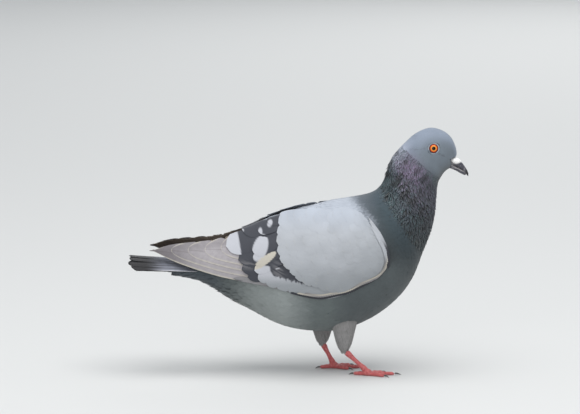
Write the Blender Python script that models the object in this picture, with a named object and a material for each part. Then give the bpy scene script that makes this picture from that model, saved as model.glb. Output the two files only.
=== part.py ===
"""A life-size feral pigeon in a slow walking stance, parted into named solids.

Metres, +Z up. The bird faces +X, its right side is -Y, and it stands on the plane Z = 0.
The origin is the middle of the bounding box's base. The outer surface is that of the closed
plumage, so skin and single feathers lie inside these solids.
"""

import math

import bmesh
import bpy
from mathutils import Matrix, Vector

MM = 0.001
GAP = 0.35 * MM  # clearance left between neighbouring solids
CUT_WIDTH = 0.35 * MM  # width of the thin cuts that part the body

# Body sections, tail to bill, in millimetres. Each runs from a point on the back to one below:
# back x, back z, underside x, underside z, half width, widest point as a share of the way down
# and fullness, where 1 is an ellipse and less is squarer.
BODY_SECTIONS = {
    "covert_tips": (-112.0, 109.0, -118.0, 92.4, 10.0, 0.50, 0.95),
    "tail_root": (-92.0, 113.0, -95.0, 87.4, 17.0, 0.50, 0.95),
    "vent": (-70.0, 119.0, -75.0, 77.6, 24.5, 0.47, 0.95),
    "rump": (-46.0, 129.0, -52.0, 63.4, 33.0, 0.47, 0.90),
    "loin": (-20.0, 143.0, -18.0, 46.0, 41.0, 0.50, 0.86),
    "belly": (6.0, 154.2, 12.0, 39.8, 45.0, 0.52, 0.86),
    "mid_back": (28.0, 160.8, 40.0, 41.0, 46.5, 0.52, 0.88),
    "saddle": (46.0, 163.9, 67.0, 51.5, 46.0, 0.52, 0.90),
    "shoulder": (59.5, 166.3, 90.0, 68.5, 43.5, 0.52, 0.93),
    "breast": (68.5, 169.1, 105.0, 88.0, 40.0, 0.52, 0.96),
    "crop": (75.0, 174.5, 115.0, 112.5, 35.0, 0.54, 1.0),
    "neck_base": (79.0, 181.3, 122.6, 133.0, 29.0, 0.54, 1.0),
    "low_neck": (81.3, 188.3, 126.2, 150.0, 24.0, 0.54, 1.0),
    "mid_neck": (83.8, 196.5, 127.4, 165.5, 20.4, 0.54, 1.0),
    "nape": (88.6, 205.1, 129.0, 177.7, 17.8, 0.54, 0.98),
    "occiput": (97.0, 214.1, 132.6, 184.9, 16.0, 0.54, 0.95),
    "hind_crown": (108.0, 223.9, 135.6, 188.7, 14.8, 0.54, 0.92),
    "crown": (121.0, 229.1, 137.4, 190.2, 14.0, 0.53, 0.90),
    "fore_crown": (132.6, 226.7, 138.6, 190.8, 12.2, 0.50, 0.92),
    "forehead": (140.8, 220.3, 139.4, 191.4, 9.2, 0.44, 0.96),
    "brow": (145.2, 210.9, 139.9, 192.3, 6.2, 0.44, 1.0),
    "bill_root": (146.3, 203.4, 140.4, 193.5, 4.3, 0.50, 1.0),
}
BODY_REAR = (-127.0, 97.0)
BODY_FRONT = (144.4, 198.2)
BODY_RINGS, BODY_AROUND = 36, 20

# The planes that part the body: a point on the back and one below, x and z.
LOIN_CUT = ((20.0, 160.0), (0.0, 35.0))
NECK_CUT = ((73.5, 172.5), (119.5, 121.5))
HEAD_CUT = ((90.5, 207.5), (131.0, 182.9))

# The folded wing, tip to bend, in millimetres: x, then y and z of its upper edge, y and z of its
# lower edge, how far it bulges between them, and its thickness.
WING_SECTIONS = {
    "near_tip": (-134.0, 11.6, 120.7, 13.9, 115.5, 0.3, 1.8),
    "outer": (-122.0, 9.8, 124.3, 16.6, 109.7, 1.2, 2.4),
    "hand": (-100.0, 8.2, 126.6, 22.2, 102.1, 3.0, 3.2),
    "knuckle": (-74.0, 7.0, 129.0, 29.0, 95.1, 5.2, 4.2),
    "tertials": (-50.0, 7.4, 135.5, 35.2, 90.9, 8.0, 5.0),
    "rear": (-26.0, 9.6, 146.6, 40.6, 87.3, 11.4, 6.0),
    "middle": (0.0, 13.4, 154.4, 43.6, 80.1, 15.0, 7.0),
    "deep": (22.0, 17.2, 157.6, 44.2, 76.9, 17.0, 8.0),
    "front": (42.0, 21.6, 157.9, 44.4, 80.7, 17.0, 8.6),
    "arm": (60.0, 29.0, 152.5, 44.0, 89.1, 14.0, 8.6),
    "wrist": (73.0, 37.6, 139.1, 43.4, 97.1, 8.8, 7.6),
    "bend": (80.4, 41.0, 125.5, 42.8, 105.9, 3.6, 5.6),
}
WING_TIP = (-138.8, 13.0, 118.1)
WING_BEND = (82.8, 42.4, 115.5)
WING_RINGS, WING_AROUND = 22, 16
ROOM_DEPTH = 60.0  # how far the space for a wing is cut out sideways
PRIMARY_TIPS = 5  # steps along the upper edge of the hand, one for each feather tip
PRIMARY_STEP = 1.6
PRIMARY_REACH = (-136.0, -64.0)  # where those steps begin and end, in x
RIGHT_SINK = 2.5  # how much lower the right wing's upper edge lies behind its tertials
SINK_REACH = (-96.0, -48.0)  # where that begins to fade and where it ends, in x
# The planes between the primaries, secondaries and coverts: a high and a low point, x and z.
PRIMARY_CUT = ((-74.0, 132.5), (-32.0, 86.5))
COVERT_CUT = ((-34.0, 148.5), (-6.0, 78.5))

# The tail: twelve feathers in a shut, slightly roofed fan.
TAIL_FEATHERS = 12
TAIL_ROOT = (-62.0, 103.5)
TAIL_TIP = (-157.0, 109.3)
TAIL_ROOT_HALF, TAIL_TIP_HALF = 10.5, 29.0
TAIL_ROOF = 7.5  # how far the outer feathers hang below the middle ones
TAIL_CORNER = 4.6  # how far the fan's corners stop short of its middle
TAIL_NOTCH = 2.4  # depth of the notch between two feather tips
TAIL_STEP = 0.5  # how far each feather lies above the next one out
TAIL_THICKNESS = 2.4
TAIL_ROWS, TAIL_COLUMNS = 3, 2

# The bill: top x, top z, edge x, edge z, half width.
UPPER_BILL = (
    (138.6, 199.8, 139.2, 196.4, 3.4),
    (144.6, 199.6, 144.5, 193.6, 3.8),
    (149.2, 198.5, 148.6, 191.5, 3.1),
    (152.4, 194.3, 151.4, 189.9, 2.5),
    (155.2, 190.3, 154.2, 187.2, 2.1),
    (156.7, 186.7, 155.8, 185.0, 1.3),
)
UPPER_BILL_ENDS = ((136.5, 198.4), (156.8, 183.7))
LOWER_BILL = (
    (139.0, 195.9, 138.8, 191.9, 3.1),
    (144.2, 193.4, 143.8, 190.1, 3.3),
    (148.2, 191.3, 147.4, 188.1, 2.7),
    (151.0, 189.7, 150.2, 186.5, 2.1),
    (153.6, 187.3, 153.0, 185.2, 1.5),
)
LOWER_BILL_ENDS = ((137.0, 193.9), (154.8, 185.5))
BILL_RINGS, BILL_AROUND = 8, 12
BILL_FULLNESS = 0.65  # under 1, the sides stay wide down to where the two halves meet
CERE_ENDS = ((138.8, 199.9), (150.4, 197.5))  # x and z
CERE_HALF_WIDTH, CERE_HALF_HEIGHT = 5.6, 3.3
CERE_GROOVE = 0.34  # depth of the groove between its two lobes, as a share of its height

EYE_CENTRE, EYE_RADIUS, EYE_OUT = (124.6, 211.9), 5.6, 14.35

# The legs. The right foot is ahead of the left one by the stride.
HIP_SIDE, FOOT_SIDE = 20.0, 19.0
ANKLE = (42.0, 24.0)
HUB = (63.5, 3.15)
STRIDE = 20.0  # how far the left ankle is behind the right one
TRAIL = 11.0  # how much less the left shank slopes forward
THIGH_TOP = (42.0, 66.5)
THIGH_SECTIONS = (  # share of the way down, half length, half width
    (0.10, 13.0, 9.0),
    (0.35, 12.5, 9.0),
    (0.60, 10.0, 7.6),
    (0.82, 7.4, 5.8),
    (0.95, 5.4, 4.4),
)
SHANK_RADII = (2.2, 2.9, 2.5, 2.05, 2.0, 2.2, 2.9, 2.4)
HUB_RADII = (4.6, 4.2, 3.5)
TOES = {  # angle from straight ahead towards the midline, length, claw length
    "inner": (36.0, 18.0, 6.0),
    "middle": (3.0, 26.0, 7.0),
    "outer": (-32.0, 19.0, 6.0),
    "hind": (168.0, 13.5, 5.6),
}
TOE_RADIUS, TOE_TAPER, TOE_PAD = 2.15, 0.55, 0.16
TOE_JOINTS = 3
TOE_SINK = 0.45  # depth of each toe pad pressed flat against the floor
CLAW_RADIUS, CLAW_ARCH = 1.15, 1.1

COLOURS = {  # base colour, roughness
    "slate_head": ((0.20, 0.23, 0.28), 0.85),
    "dark_neck": ((0.09, 0.12, 0.13), 0.60),
    "grey_body": ((0.17, 0.20, 0.23), 0.90),
    "pale_wing": ((0.42, 0.44, 0.48), 0.85),
    "brown_flight": ((0.24, 0.22, 0.21), 0.80),
    "dark_tail": ((0.10, 0.11, 0.13), 0.80),
    "horn": ((0.035, 0.035, 0.04), 0.40),
    "white_cere": ((0.72, 0.70, 0.66), 0.70),
    "orange_eye": ((0.60, 0.16, 0.03), 0.08),
    "red_skin": ((0.45, 0.10, 0.09), 0.60),
}


def spline(rows, place):
    """The row at a place along a list of rows, where whole numbers are the rows themselves."""
    place = min(max(place, 0.0), len(rows) - 1.0)
    first = min(int(place), len(rows) - 2)
    t = place - first
    before, after = rows[max(first - 1, 0)], rows[min(first + 2, len(rows) - 1)]
    return [
        b + 0.5 * t * (c - a + t * (2 * a - 5 * b + 4 * c - d + t * (3 * b - a - 3 * c + d)))
        for a, b, c, d in zip(before, rows[first], rows[first + 1], after)
    ]


def finish(name, bm, material):
    """Links a bmesh as a named, smooth-shaded object with its own material."""
    bmesh.ops.recalc_face_normals(bm, faces=bm.faces)
    if bm.calc_volume(signed=True) < 0.0:
        bmesh.ops.reverse_faces(bm, faces=bm.faces)
    mesh = bpy.data.meshes.new(name)
    bm.to_mesh(mesh)
    bm.free()
    mesh.shade_smooth()
    made = bpy.data.objects.new(name, mesh)
    bpy.context.scene.collection.objects.link(made)
    mesh.materials.append(material)
    return made


def finish_material(name):
    """A Principled material from the colour table."""
    colour, roughness = COLOURS[name]
    material = bpy.data.materials.get(name) or bpy.data.materials.new(name)
    material.use_nodes = True
    shader = material.node_tree.nodes["Principled BSDF"]
    shader.inputs["Base Color"].default_value = (*colour, 1.0)
    shader.inputs["Roughness"].default_value = roughness
    return material


def warped(rings, around, place):
    """A sphere drawn out into a tapering form: place(share along, angle round) is in millimetres.

    A count around that divides by four puts a line of points on angles 0 and pi.
    """
    bm = bmesh.new()
    bmesh.ops.create_uvsphere(bm, u_segments=around, v_segments=rings, radius=1.0)
    bmesh.ops.triangulate(bm, faces=bm.faces, quad_method="FIXED")  # so that nested forms agree
    for vert in bm.verts:
        share = math.acos(max(-1.0, min(1.0, vert.co.z))) / math.pi
        angle = math.atan2(vert.co.y, vert.co.x)
        vert.co = Vector(place(share, angle)) * MM
    return bm


def between_ends(rows, share):
    """Place in a list of rows for a share of a form whose first and last shares are its poles."""
    return share * (len(rows) + 1) - 1.0


def body_point(share, angle):
    """A point on the plumage from tail coverts to bill. Angle 0 is the back, pi the underside."""
    rows = list(BODY_SECTIONS.values())
    place = between_ends(rows, share)
    if place <= -1.0 + 1e-6 or place >= len(rows) - 1e-6:
        x, z = BODY_REAR if place < 0 else BODY_FRONT
        return x, 0.0, z
    top_x, top_z, low_x, low_z, half, widest, fullness = spline(rows, place)
    end = BODY_REAR if place < 0 else BODY_FRONT
    over = max(-place, place - (len(rows) - 1.0), 0.0)
    keep = math.sqrt(max(0.0, 1.0 - over * over))
    down = (0.5 * (1.0 - math.cos(angle))) ** (math.log(widest) / math.log(0.5))
    middle = (0.5 * (top_x + low_x), 0.5 * (top_z + low_z))
    x, z = top_x + (low_x - top_x) * down, top_z + (low_z - top_z) * down
    centre = [m + (e - m) * over for m, e in zip(middle, end)]
    side = half * keep * math.copysign(abs(math.sin(angle)) ** fullness, math.sin(angle))
    return centre[0] + (x - middle[0]) * keep, side, centre[1] + (z - middle[1]) * keep


def halved(bm, line, keep_front, part=0.5):
    """Keeps one side of the upright plane through a line in x and z, less half a thin cut."""
    (high_x, high_z), (low_x, low_z) = line
    normal = Vector((high_z - low_z, 0.0, low_x - high_x)).normalized()
    shift = normal * CUT_WIDTH * part * (1 if keep_front else -1)
    cut = bmesh.ops.bisect_plane(
        bm,
        geom=bm.verts[:] + bm.edges[:] + bm.faces[:],
        plane_co=Vector((high_x, 0.0, high_z)) * MM + shift,
        plane_no=normal,
        clear_inner=keep_front,
        clear_outer=not keep_front,
    )
    rim = [e for e in cut["geom_cut"] if isinstance(e, bmesh.types.BMEdge)]
    bmesh.ops.contextual_create(bm, geom=rim)
    return bm


def carve(target, tool, margin=GAP):
    """Cuts a slightly grown copy of the tool out of the target."""
    cutter = bpy.data.objects.new(f"cutter_{tool.name}_from_{target.name}", tool.data.copy())
    bpy.context.scene.collection.objects.link(cutter)
    bm = bmesh.new()
    bm.from_mesh(cutter.data)
    bm.normal_update()
    grown = [vert.co + vert.normal * margin for vert in bm.verts]
    for vert, co in zip(bm.verts, grown):
        vert.co = co
    bm.to_mesh(cutter.data)
    bm.free()
    difference(target, cutter)


def difference(target, cutter):
    """A live Boolean that takes a hidden cutter from the target."""
    cutter.hide_render = True
    cutter.display_type = "WIRE"
    cut = target.modifiers.new(f"less_{cutter.name}"[:60], "BOOLEAN")
    cut.operation = "DIFFERENCE"
    cut.solver = "EXACT"
    cut.object = cutter


def unite(target, *others):
    """Joins other solids to the target and hides them."""
    for other in others:
        other.hide_render = True
        other.display_type = "WIRE"
        join = target.modifiers.new(f"with_{other.name}"[:60], "BOOLEAN")
        join.operation = "UNION"
        join.solver = "EXACT"
        join.object = other


def make_body():
    """Head, neck, breast and loins: one form, parted by thin cuts.

    The breast holds the flight muscles, so it is the heavy part. The loins are mostly plumage.
    """
    pieces = {}
    for name, look, cuts in (
        ("head", "slate_head", ((HEAD_CUT, True),)),
        ("neck", "dark_neck", ((HEAD_CUT, False), (NECK_CUT, True))),
        ("breast", "grey_body", ((NECK_CUT, False), (LOIN_CUT, True))),
        ("loins", "grey_body", ((LOIN_CUT, False),)),
    ):
        bm = warped(BODY_RINGS, BODY_AROUND, body_point)
        for line, keep_front in cuts:
            halved(bm, line, keep_front)
        pieces[name] = finish(name, bm, finish_material(look))
    return pieces


def wing_edge_step(x):
    """How far the upper edge dips behind each primary's tip."""
    rear, front = PRIMARY_REACH
    if not rear < x < front:
        return 0.0
    phase = (x - rear) / (front - rear) * PRIMARY_TIPS % 1.0
    return PRIMARY_STEP * (1.0 - phase) ** 2


def right_wing_sink(x):
    """How far the right wing's upper edge lies below the left one's, fading towards the back."""
    rear, front = SINK_REACH
    share = min(1.0, max(0.0, (front - x) / (front - rear)))
    return RIGHT_SINK * share * share * (3.0 - 2.0 * share)


def wing_point(side, grow=0.0):
    """The folded wing on one side, +1 left or -1 right, as a function for warped()."""
    rows = list(WING_SECTIONS.values())

    def place(share, angle):
        at = between_ends(rows, share)
        over = max(-at, at - (len(rows) - 1.0), 0.0)
        if over >= 1.0 - 1e-6:
            x, y, z = WING_TIP if at < 0 else WING_BEND
            return x + (-grow if at < 0 else grow), side * y, z
        x, top_y, top_z, low_y, low_z, bulge, thick = spline(rows, at)
        end = WING_TIP if at < 0 else WING_BEND
        keep = math.sqrt(1.0 - over * over)
        top_z += grow - wing_edge_step(x) - (right_wing_sink(x) if side < 0 else 0.0)
        low_z -= grow
        down = 0.5 * (1.0 - math.cos(angle))
        y, z = top_y + (low_y - top_y) * down, top_z + (low_z - top_z) * down
        chord = math.hypot(low_y - top_y, low_z - top_z)
        out_y, out_z = (top_z - low_z) / chord, (low_y - top_y) / chord
        skin = 0.5 * thick * (math.sin(angle) - abs(math.sin(angle))) - grow
        off = bulge * 4.0 * down * (1.0 - down) + skin
        y, z = y + out_y * off, z + out_z * off
        middle_y, middle_z = 0.5 * (top_y + low_y), 0.5 * (top_z + low_z)
        centre = [m + (e - m) * over for m, e in zip((x, middle_y, middle_z), end)]
        y, z = centre[1] + (y - middle_y) * keep, centre[2] + (z - middle_z) * keep
        return centre[0], side * y, z

    return place


def wing_room(side):
    """The space a wing needs in the trunk: its inner face, drawn straight out past the flank."""
    inner = wing_point(side, 1.3 * GAP / MM)

    step = 2.0 * math.pi / WING_AROUND  # the first ring outside the rim goes straight out from it

    def place(share, angle):
        if angle <= 1e-6 or angle > math.pi - 1e-6:
            return inner(share, -abs(angle))
        angle = math.pi * (angle - step) / (math.pi - 2.0 * step)
        x, y, z = inner(share, -angle)
        return x, y + side * ROOM_DEPTH, z

    return place


def make_wing(side, word):
    """A folded wing in three solids: coverts over the arm, secondaries, and primaries."""
    for name, look, cuts in (
        (f"wing_{word}", "pale_wing", ((COVERT_CUT, True),)),
        (f"secondaries_{word}", "pale_wing", ((COVERT_CUT, False), (PRIMARY_CUT, True))),
        (f"primaries_{word}", "brown_flight", ((PRIMARY_CUT, False),)),
    ):
        bm = warped(WING_RINGS, WING_AROUND, wing_point(side))
        for line, keep_front in cuts:
            halved(bm, line, keep_front)
        finish(name, bm, finish_material(look))
    room = warped(WING_RINGS, WING_AROUND, wing_room(side))
    return finish(f"room_for_wing_{word}", room, finish_material("pale_wing"))


def tail_point(across, along):
    """The top of the tail fan. Across runs from -1 to 1 over all the feathers."""
    feather = (across + 1.0) * 0.5 * TAIL_FEATHERS
    inside = feather - min(int(feather), TAIL_FEATHERS - 1)
    tip = 1.0 - abs(2.0 * inside - 1.0) ** 2.5
    half = TAIL_ROOT_HALF + (TAIL_TIP_HALF - TAIL_ROOT_HALF) * along
    reach = TAIL_TIP[0] + TAIL_CORNER * across * across + TAIL_NOTCH * (1.0 - tip)
    x = TAIL_ROOT[0] + (reach - TAIL_ROOT[0]) * along
    z = TAIL_ROOT[1] + (TAIL_TIP[1] - TAIL_ROOT[1]) * along - TAIL_ROOF * across * across
    outwards = inside if across > 0 else 1.0 - inside
    return x, half * across, z + TAIL_STEP * (0.5 - outwards) * min(1.0, 4 * along)


def make_tail():
    """The tail fan: a grid drawn out feather by feather, then given its thickness."""
    bm = bmesh.new()
    columns = TAIL_FEATHERS * TAIL_COLUMNS
    bmesh.ops.create_grid(bm, x_segments=columns, y_segments=TAIL_ROWS, size=1.0)
    for vert in bm.verts:
        vert.co = Vector(tail_point(vert.co.x, 0.5 * (vert.co.y + 1.0))) * MM
    bmesh.ops.recalc_face_normals(bm, faces=bm.faces)
    bmesh.ops.solidify(bm, geom=bm.faces[:], thickness=TAIL_THICKNESS * MM)
    return finish("tail", bm, finish_material("dark_tail"))


def bill_point(rows, ends):
    """One half of the bill as a function for warped(), from its root to its tip."""

    def place(share, angle):
        at = between_ends(rows, share)
        over = max(-at, at - (len(rows) - 1.0), 0.0)
        if over >= 1.0 - 1e-6:
            x, z = ends[0] if at < 0 else ends[1]
            return x, 0.0, z
        top_x, top_z, low_x, low_z, half = spline(rows, at)
        end = ends[0] if at < 0 else ends[1]
        keep = math.sqrt(1.0 - over * over)
        down = 0.5 * (1.0 - math.cos(angle))
        middle = (0.5 * (top_x + low_x), 0.5 * (top_z + low_z))
        x, z = top_x + (low_x - top_x) * down, top_z + (low_z - top_z) * down
        centre = [m + (e - m) * over for m, e in zip(middle, end)]
        y = half * keep * math.copysign(abs(math.sin(angle)) ** BILL_FULLNESS, math.sin(angle))
        return centre[0] + (x - middle[0]) * keep, y, centre[1] + (z - middle[1]) * keep

    return place


def cere_point(share, angle):
    """The fleshy swelling over the nostrils, with a groove along its top between two lobes."""
    body = math.sin(math.pi * share) ** 0.65
    groove = CERE_GROOVE * math.exp(-((math.sin(angle) / 0.4) ** 2)) if math.cos(angle) > 0 else 0.0
    x, z = (rear + (front - rear) * share for rear, front in zip(*CERE_ENDS))
    y = CERE_HALF_WIDTH * body * math.sin(angle)
    return x, y, z + CERE_HALF_HEIGHT * body * math.cos(angle) * (1.0 - groove)


def make_bill():
    """The upper and lower bill, and the cere across the top of its base."""
    upper = warped(BILL_RINGS, BILL_AROUND, bill_point(UPPER_BILL, UPPER_BILL_ENDS))
    lower = warped(BILL_RINGS, BILL_AROUND, bill_point(LOWER_BILL, LOWER_BILL_ENDS))
    upper = finish("bill_upper", upper, finish_material("horn"))
    lower = finish("bill_lower", lower, finish_material("horn"))
    cere = finish("cere", warped(8, 12, cere_point), finish_material("white_cere"))
    carve(upper, cere)
    return upper, lower, cere


def make_eye(side, word):
    """An eyeball, set in its socket so that a cap of it shows."""
    bm = bmesh.new()
    bmesh.ops.create_uvsphere(bm, u_segments=12, v_segments=8, radius=EYE_RADIUS * MM)
    bmesh.ops.rotate(bm, matrix=Matrix.Rotation(math.radians(90), 3, "X"), verts=bm.verts)
    centre = (EYE_CENTRE[0], side * (EYE_OUT - EYE_RADIUS), EYE_CENTRE[1])
    bmesh.ops.translate(bm, vec=Vector(centre) * MM, verts=bm.verts)
    return finish(f"eye_{word}", bm, finish_material("orange_eye"))


def on_floor(bm):
    """Presses flat whatever reaches below the floor."""
    for vert in bm.verts:
        vert.co.z = max(vert.co.z, 0.0)
    bmesh.ops.dissolve_degenerate(bm, dist=1e-5, edges=bm.edges)
    return bm


def tube_point(path, radii):
    """A round tube along a list of points with a list of radii, as a function for warped()."""
    rows = [(*point, radius) for point, radius in zip(path, radii)]
    last = len(rows) - 1.0

    def place(share, angle):
        at = share * last
        x, y, z, radius = spline(rows, at)
        ahead, behind = spline(rows, at + 0.05), spline(rows, at - 0.05)
        along = Vector(ahead[:3]) - Vector(behind[:3])
        along.normalize()
        across = along.cross(Vector((0.0, 0.0, 1.0)))
        across = across.normalized() if across.length > 1e-3 else Vector((0.0, 1.0, 0.0))
        up = across.cross(along)
        end = min(share, 1.0 - share) * last / 0.5
        radius *= math.sqrt(max(0.0, 1.0 - (1.0 - min(end, 1.0)) ** 2))
        return Vector((x, y, z)) + (across * math.sin(angle) + up * math.cos(angle)) * radius

    return place


def make_thigh(side, word, back):
    """The feathered lower thigh, from inside the belly to the ankle."""
    rows = [(*row,) for row in THIGH_SECTIONS]

    def place(share, angle):
        at = between_ends(rows, share)
        over = max(-at, at - (len(rows) - 1.0), 0.0)
        down, half_length, half_width = spline(rows, at)
        end = 0.0 if at < 0 else 1.04
        down += (end - down) * over
        keep = math.sqrt(max(0.0, 1.0 - over * over))
        x = THIGH_TOP[0] + (ANKLE[0] - THIGH_TOP[0]) * down - back
        z = THIGH_TOP[1] + (ANKLE[1] - THIGH_TOP[1]) * down
        y = side * (HIP_SIDE + half_width * keep * math.sin(angle))
        return x + half_length * keep * math.cos(angle), y, z

    return finish(f"thigh_{word}", warped(11, 12, place), finish_material("grey_body"))


def make_shank(side, word, back, foot_back):
    """The bare tarsus from the ankle to the ball of the foot."""
    top = Vector((ANKLE[0] - back, side * HIP_SIDE, ANKLE[1]))
    low = Vector((HUB[0] - foot_back, side * FOOT_SIDE, HUB[1] + 0.6))
    count = len(SHANK_RADII)
    path = [top.lerp(low, i / (count - 1)) for i in range(count)]
    bm = warped(11, 8, tube_point(path, SHANK_RADII))
    return finish(f"tarsus_{word}", bm, finish_material("red_skin"))


def toe_path(side, back, angle, reach, arch):
    """Points from the ball of the foot out along a toe, a little arched."""
    turn = math.radians(angle) * -side
    ahead = Vector((math.cos(turn), math.sin(turn), 0.0))
    hub = Vector((HUB[0] - back, side * FOOT_SIDE, 0.0))
    steps = 2 * TOE_JOINTS
    points = []
    for i in range(steps + 1):
        share = i / steps
        points.append(hub + ahead * reach * share + Vector((0, 0, arch * math.sin(math.pi * share))))
    return points


def make_foot(side, word, back):
    """The ball of the foot with four toes joined to it, and four claws, all resting on the floor."""
    look, horn = finish_material("red_skin"), finish_material("horn")
    bm = bmesh.new()
    bmesh.ops.create_uvsphere(bm, u_segments=10, v_segments=6, radius=MM)
    bmesh.ops.scale(bm, vec=HUB_RADII, verts=bm.verts)
    hub = Vector((HUB[0] - back, side * FOOT_SIDE, HUB[1] - 0.25))
    bmesh.ops.translate(bm, vec=hub * MM, verts=bm.verts)
    foot = finish(f"foot_{word}", on_floor(bm), look)
    toes = []
    for toe, (angle, length, claw) in TOES.items():
        path = toe_path(side, back, angle, length, 0.5)
        radii = []
        for i, point in enumerate(path):
            share = i / (len(path) - 1)
            pad = 1.0 + TOE_PAD * (1 if i % 2 else -1) * 0.5
            radii.append((TOE_RADIUS - TOE_TAPER * share) * pad)
            point.z += radii[-1] - TOE_SINK
        bm = on_floor(warped(8, 8, tube_point(path, radii)))
        toes.append(finish(f"toe_{toe}_{word}", bm, look))
        tip, before = path[-1], path[-2]
        ahead = (tip - before).normalized()
        ahead.z = 0.0
        start = tip - ahead * 1.1 + Vector((0, 0, 0.35))
        claw_path = []
        for i in range(6):
            share = i / 5
            rise = CLAW_ARCH * math.sin(math.pi * min(1.0, share * 1.25)) * (1 - 0.2 * share)
            sink = (start.z - 0.35) * share**1.6
            claw_path.append(start + ahead * claw * share + Vector((0, 0, 0.55 * rise - sink)))
        claw_radii = [CLAW_RADIUS * (1.0 - 0.9 * (i / 5) ** 1.2) for i in range(6)]
        bm = on_floor(warped(5, 6, tube_point(claw_path, claw_radii)))
        finish(f"claw_{toe}_{word}", bm, horn)
    unite(foot, *toes)
    for toe in toes:
        carve(bpy.data.objects[toe.name.replace("toe", "claw")], toe)
    return foot


def make_leg(side, word, back, foot_back):
    """A leg whose ankle and foot stand back from where the right one's are."""
    thigh = make_thigh(side, word, back)
    shank = make_shank(side, word, back, foot_back)
    foot = make_foot(side, word, foot_back)
    carve(shank, thigh)
    carve(foot, shank)
    return thigh


def centre_on_base():
    """Moves everything so that the origin is the middle of the bounding box's base."""
    bpy.context.view_layer.update()
    shown = [o for o in bpy.data.objects if not o.hide_render]
    corners = [o.matrix_world @ Vector(c) for o in shown for c in o.bound_box]
    low = Vector(map(min, *corners))
    high = Vector(map(max, *corners))
    shift = Vector((-0.5 * (low.x + high.x), -0.5 * (low.y + high.y), -low.z))
    for made in bpy.data.objects:
        made.location += shift


def main():
    for old in list(bpy.data.objects):
        bpy.data.objects.remove(old)
    body = make_body()
    rooms = [make_wing(-1, "right"), make_wing(1, "left")]
    tail = make_tail()
    bill = make_bill()
    eyes = [make_eye(-1, "right"), make_eye(1, "left")]
    thighs = [make_leg(-1, "right", 0.0, 0.0), make_leg(1, "left", STRIDE, STRIDE + TRAIL)]
    for tool in (*bill, *eyes):
        carve(body["head"], tool)
    for trunk in (body["breast"], body["loins"]):
        for room in rooms:
            difference(trunk, room)
    carve(body["loins"], tail)
    for thigh in thighs:
        carve(body["breast"], thigh)
    carve(body["loins"], thighs[1])
    centre_on_base()


main()
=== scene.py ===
"""The looks of a pigeon, a still life-size model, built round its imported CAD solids.

Distances in the tables are millimetres in the model's own axes: x towards the bill, y towards the
bird's left and z up. The bird is one skin under a coat of thin vanes. Each vane lies along the
surface that its feather tract grows on, with its root sunk in and its tip lying free.
"""

import math

import bmesh
import bpy
import numpy as np
from mathutils import Matrix, Vector
from mathutils.bvhtree import BVHTree
from mathutils.kdtree import KDTree


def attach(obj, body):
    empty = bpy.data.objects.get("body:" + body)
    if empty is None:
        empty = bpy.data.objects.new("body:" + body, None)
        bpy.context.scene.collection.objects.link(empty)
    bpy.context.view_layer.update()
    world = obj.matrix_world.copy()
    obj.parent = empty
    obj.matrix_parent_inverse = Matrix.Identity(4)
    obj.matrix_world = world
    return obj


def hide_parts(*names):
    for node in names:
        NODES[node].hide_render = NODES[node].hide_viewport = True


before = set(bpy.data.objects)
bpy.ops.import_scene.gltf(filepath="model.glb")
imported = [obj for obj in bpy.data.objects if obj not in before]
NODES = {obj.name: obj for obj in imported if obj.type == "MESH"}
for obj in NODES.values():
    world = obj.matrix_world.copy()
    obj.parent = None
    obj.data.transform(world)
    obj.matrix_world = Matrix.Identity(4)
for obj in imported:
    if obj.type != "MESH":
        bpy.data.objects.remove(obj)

MM = 0.001
BODY = "root"
SIDES = {"right": -1, "left": 1}
random = np.random.default_rng(7)

# The body under its coat, tail to bill: back x, back z, underside x, underside z, half width,
# widest point as a share of the way down, and fullness.
BODY_SECTIONS = {
    "covert_tips": (-112, 109, -118, 92.4, 10, 0.50, 0.95),
    "tail_root": (-92, 113, -95, 87.4, 17, 0.50, 0.95),
    "vent": (-70, 119, -75, 77.6, 24.5, 0.47, 0.95),
    "rump": (-46, 129, -52, 63.4, 33, 0.47, 0.90),
    "loin": (-20, 143, -18, 46, 41, 0.50, 0.86),
    "belly": (6, 154.2, 12, 39.8, 45, 0.52, 0.86),
    "mid_back": (28, 160.8, 40, 41, 46.5, 0.52, 0.88),
    "saddle": (46, 163.9, 67, 51.5, 46, 0.52, 0.90),
    "shoulder": (59.5, 166.3, 90, 68.5, 43.5, 0.52, 0.93),
    "breast": (68.5, 169.1, 105, 88, 40, 0.52, 0.96),
    "crop": (75, 174.5, 115, 112.5, 35, 0.54, 1),
    "neck_base": (79, 181.3, 122.6, 133, 29, 0.54, 1),
    "low_neck": (81.3, 188.3, 126.2, 150, 24, 0.54, 1),
    "mid_neck": (83.8, 196.5, 127.4, 165.5, 20.4, 0.54, 1),
    "nape": (88.6, 205.1, 129, 177.7, 17.8, 0.54, 0.98),
    "occiput": (97, 214.1, 132.6, 184.9, 16, 0.54, 0.95),
    "hind_crown": (108, 223.9, 135.6, 188.7, 14.8, 0.54, 0.92),
    "crown": (121, 229.1, 137.4, 190.2, 14, 0.53, 0.90),
    "fore_crown": (132.6, 226.7, 138.6, 190.8, 12.2, 0.50, 0.92),
    "forehead": (140.8, 220.3, 139.4, 191.4, 9.2, 0.44, 0.96),
    "brow": (145.2, 210.9, 139.9, 192.3, 6.2, 0.44, 1),
    "bill_root": (146.3, 203.4, 140.4, 193.5, 4.3, 0.50, 1),
}
# Where the body closes behind and at the bill, x and z.
BODY_REAR = (-127, 97)
BODY_FRONT = (144.4, 198.2)
STATIONS = list(BODY_SECTIONS)
LAST = len(STATIONS) - 1

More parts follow.
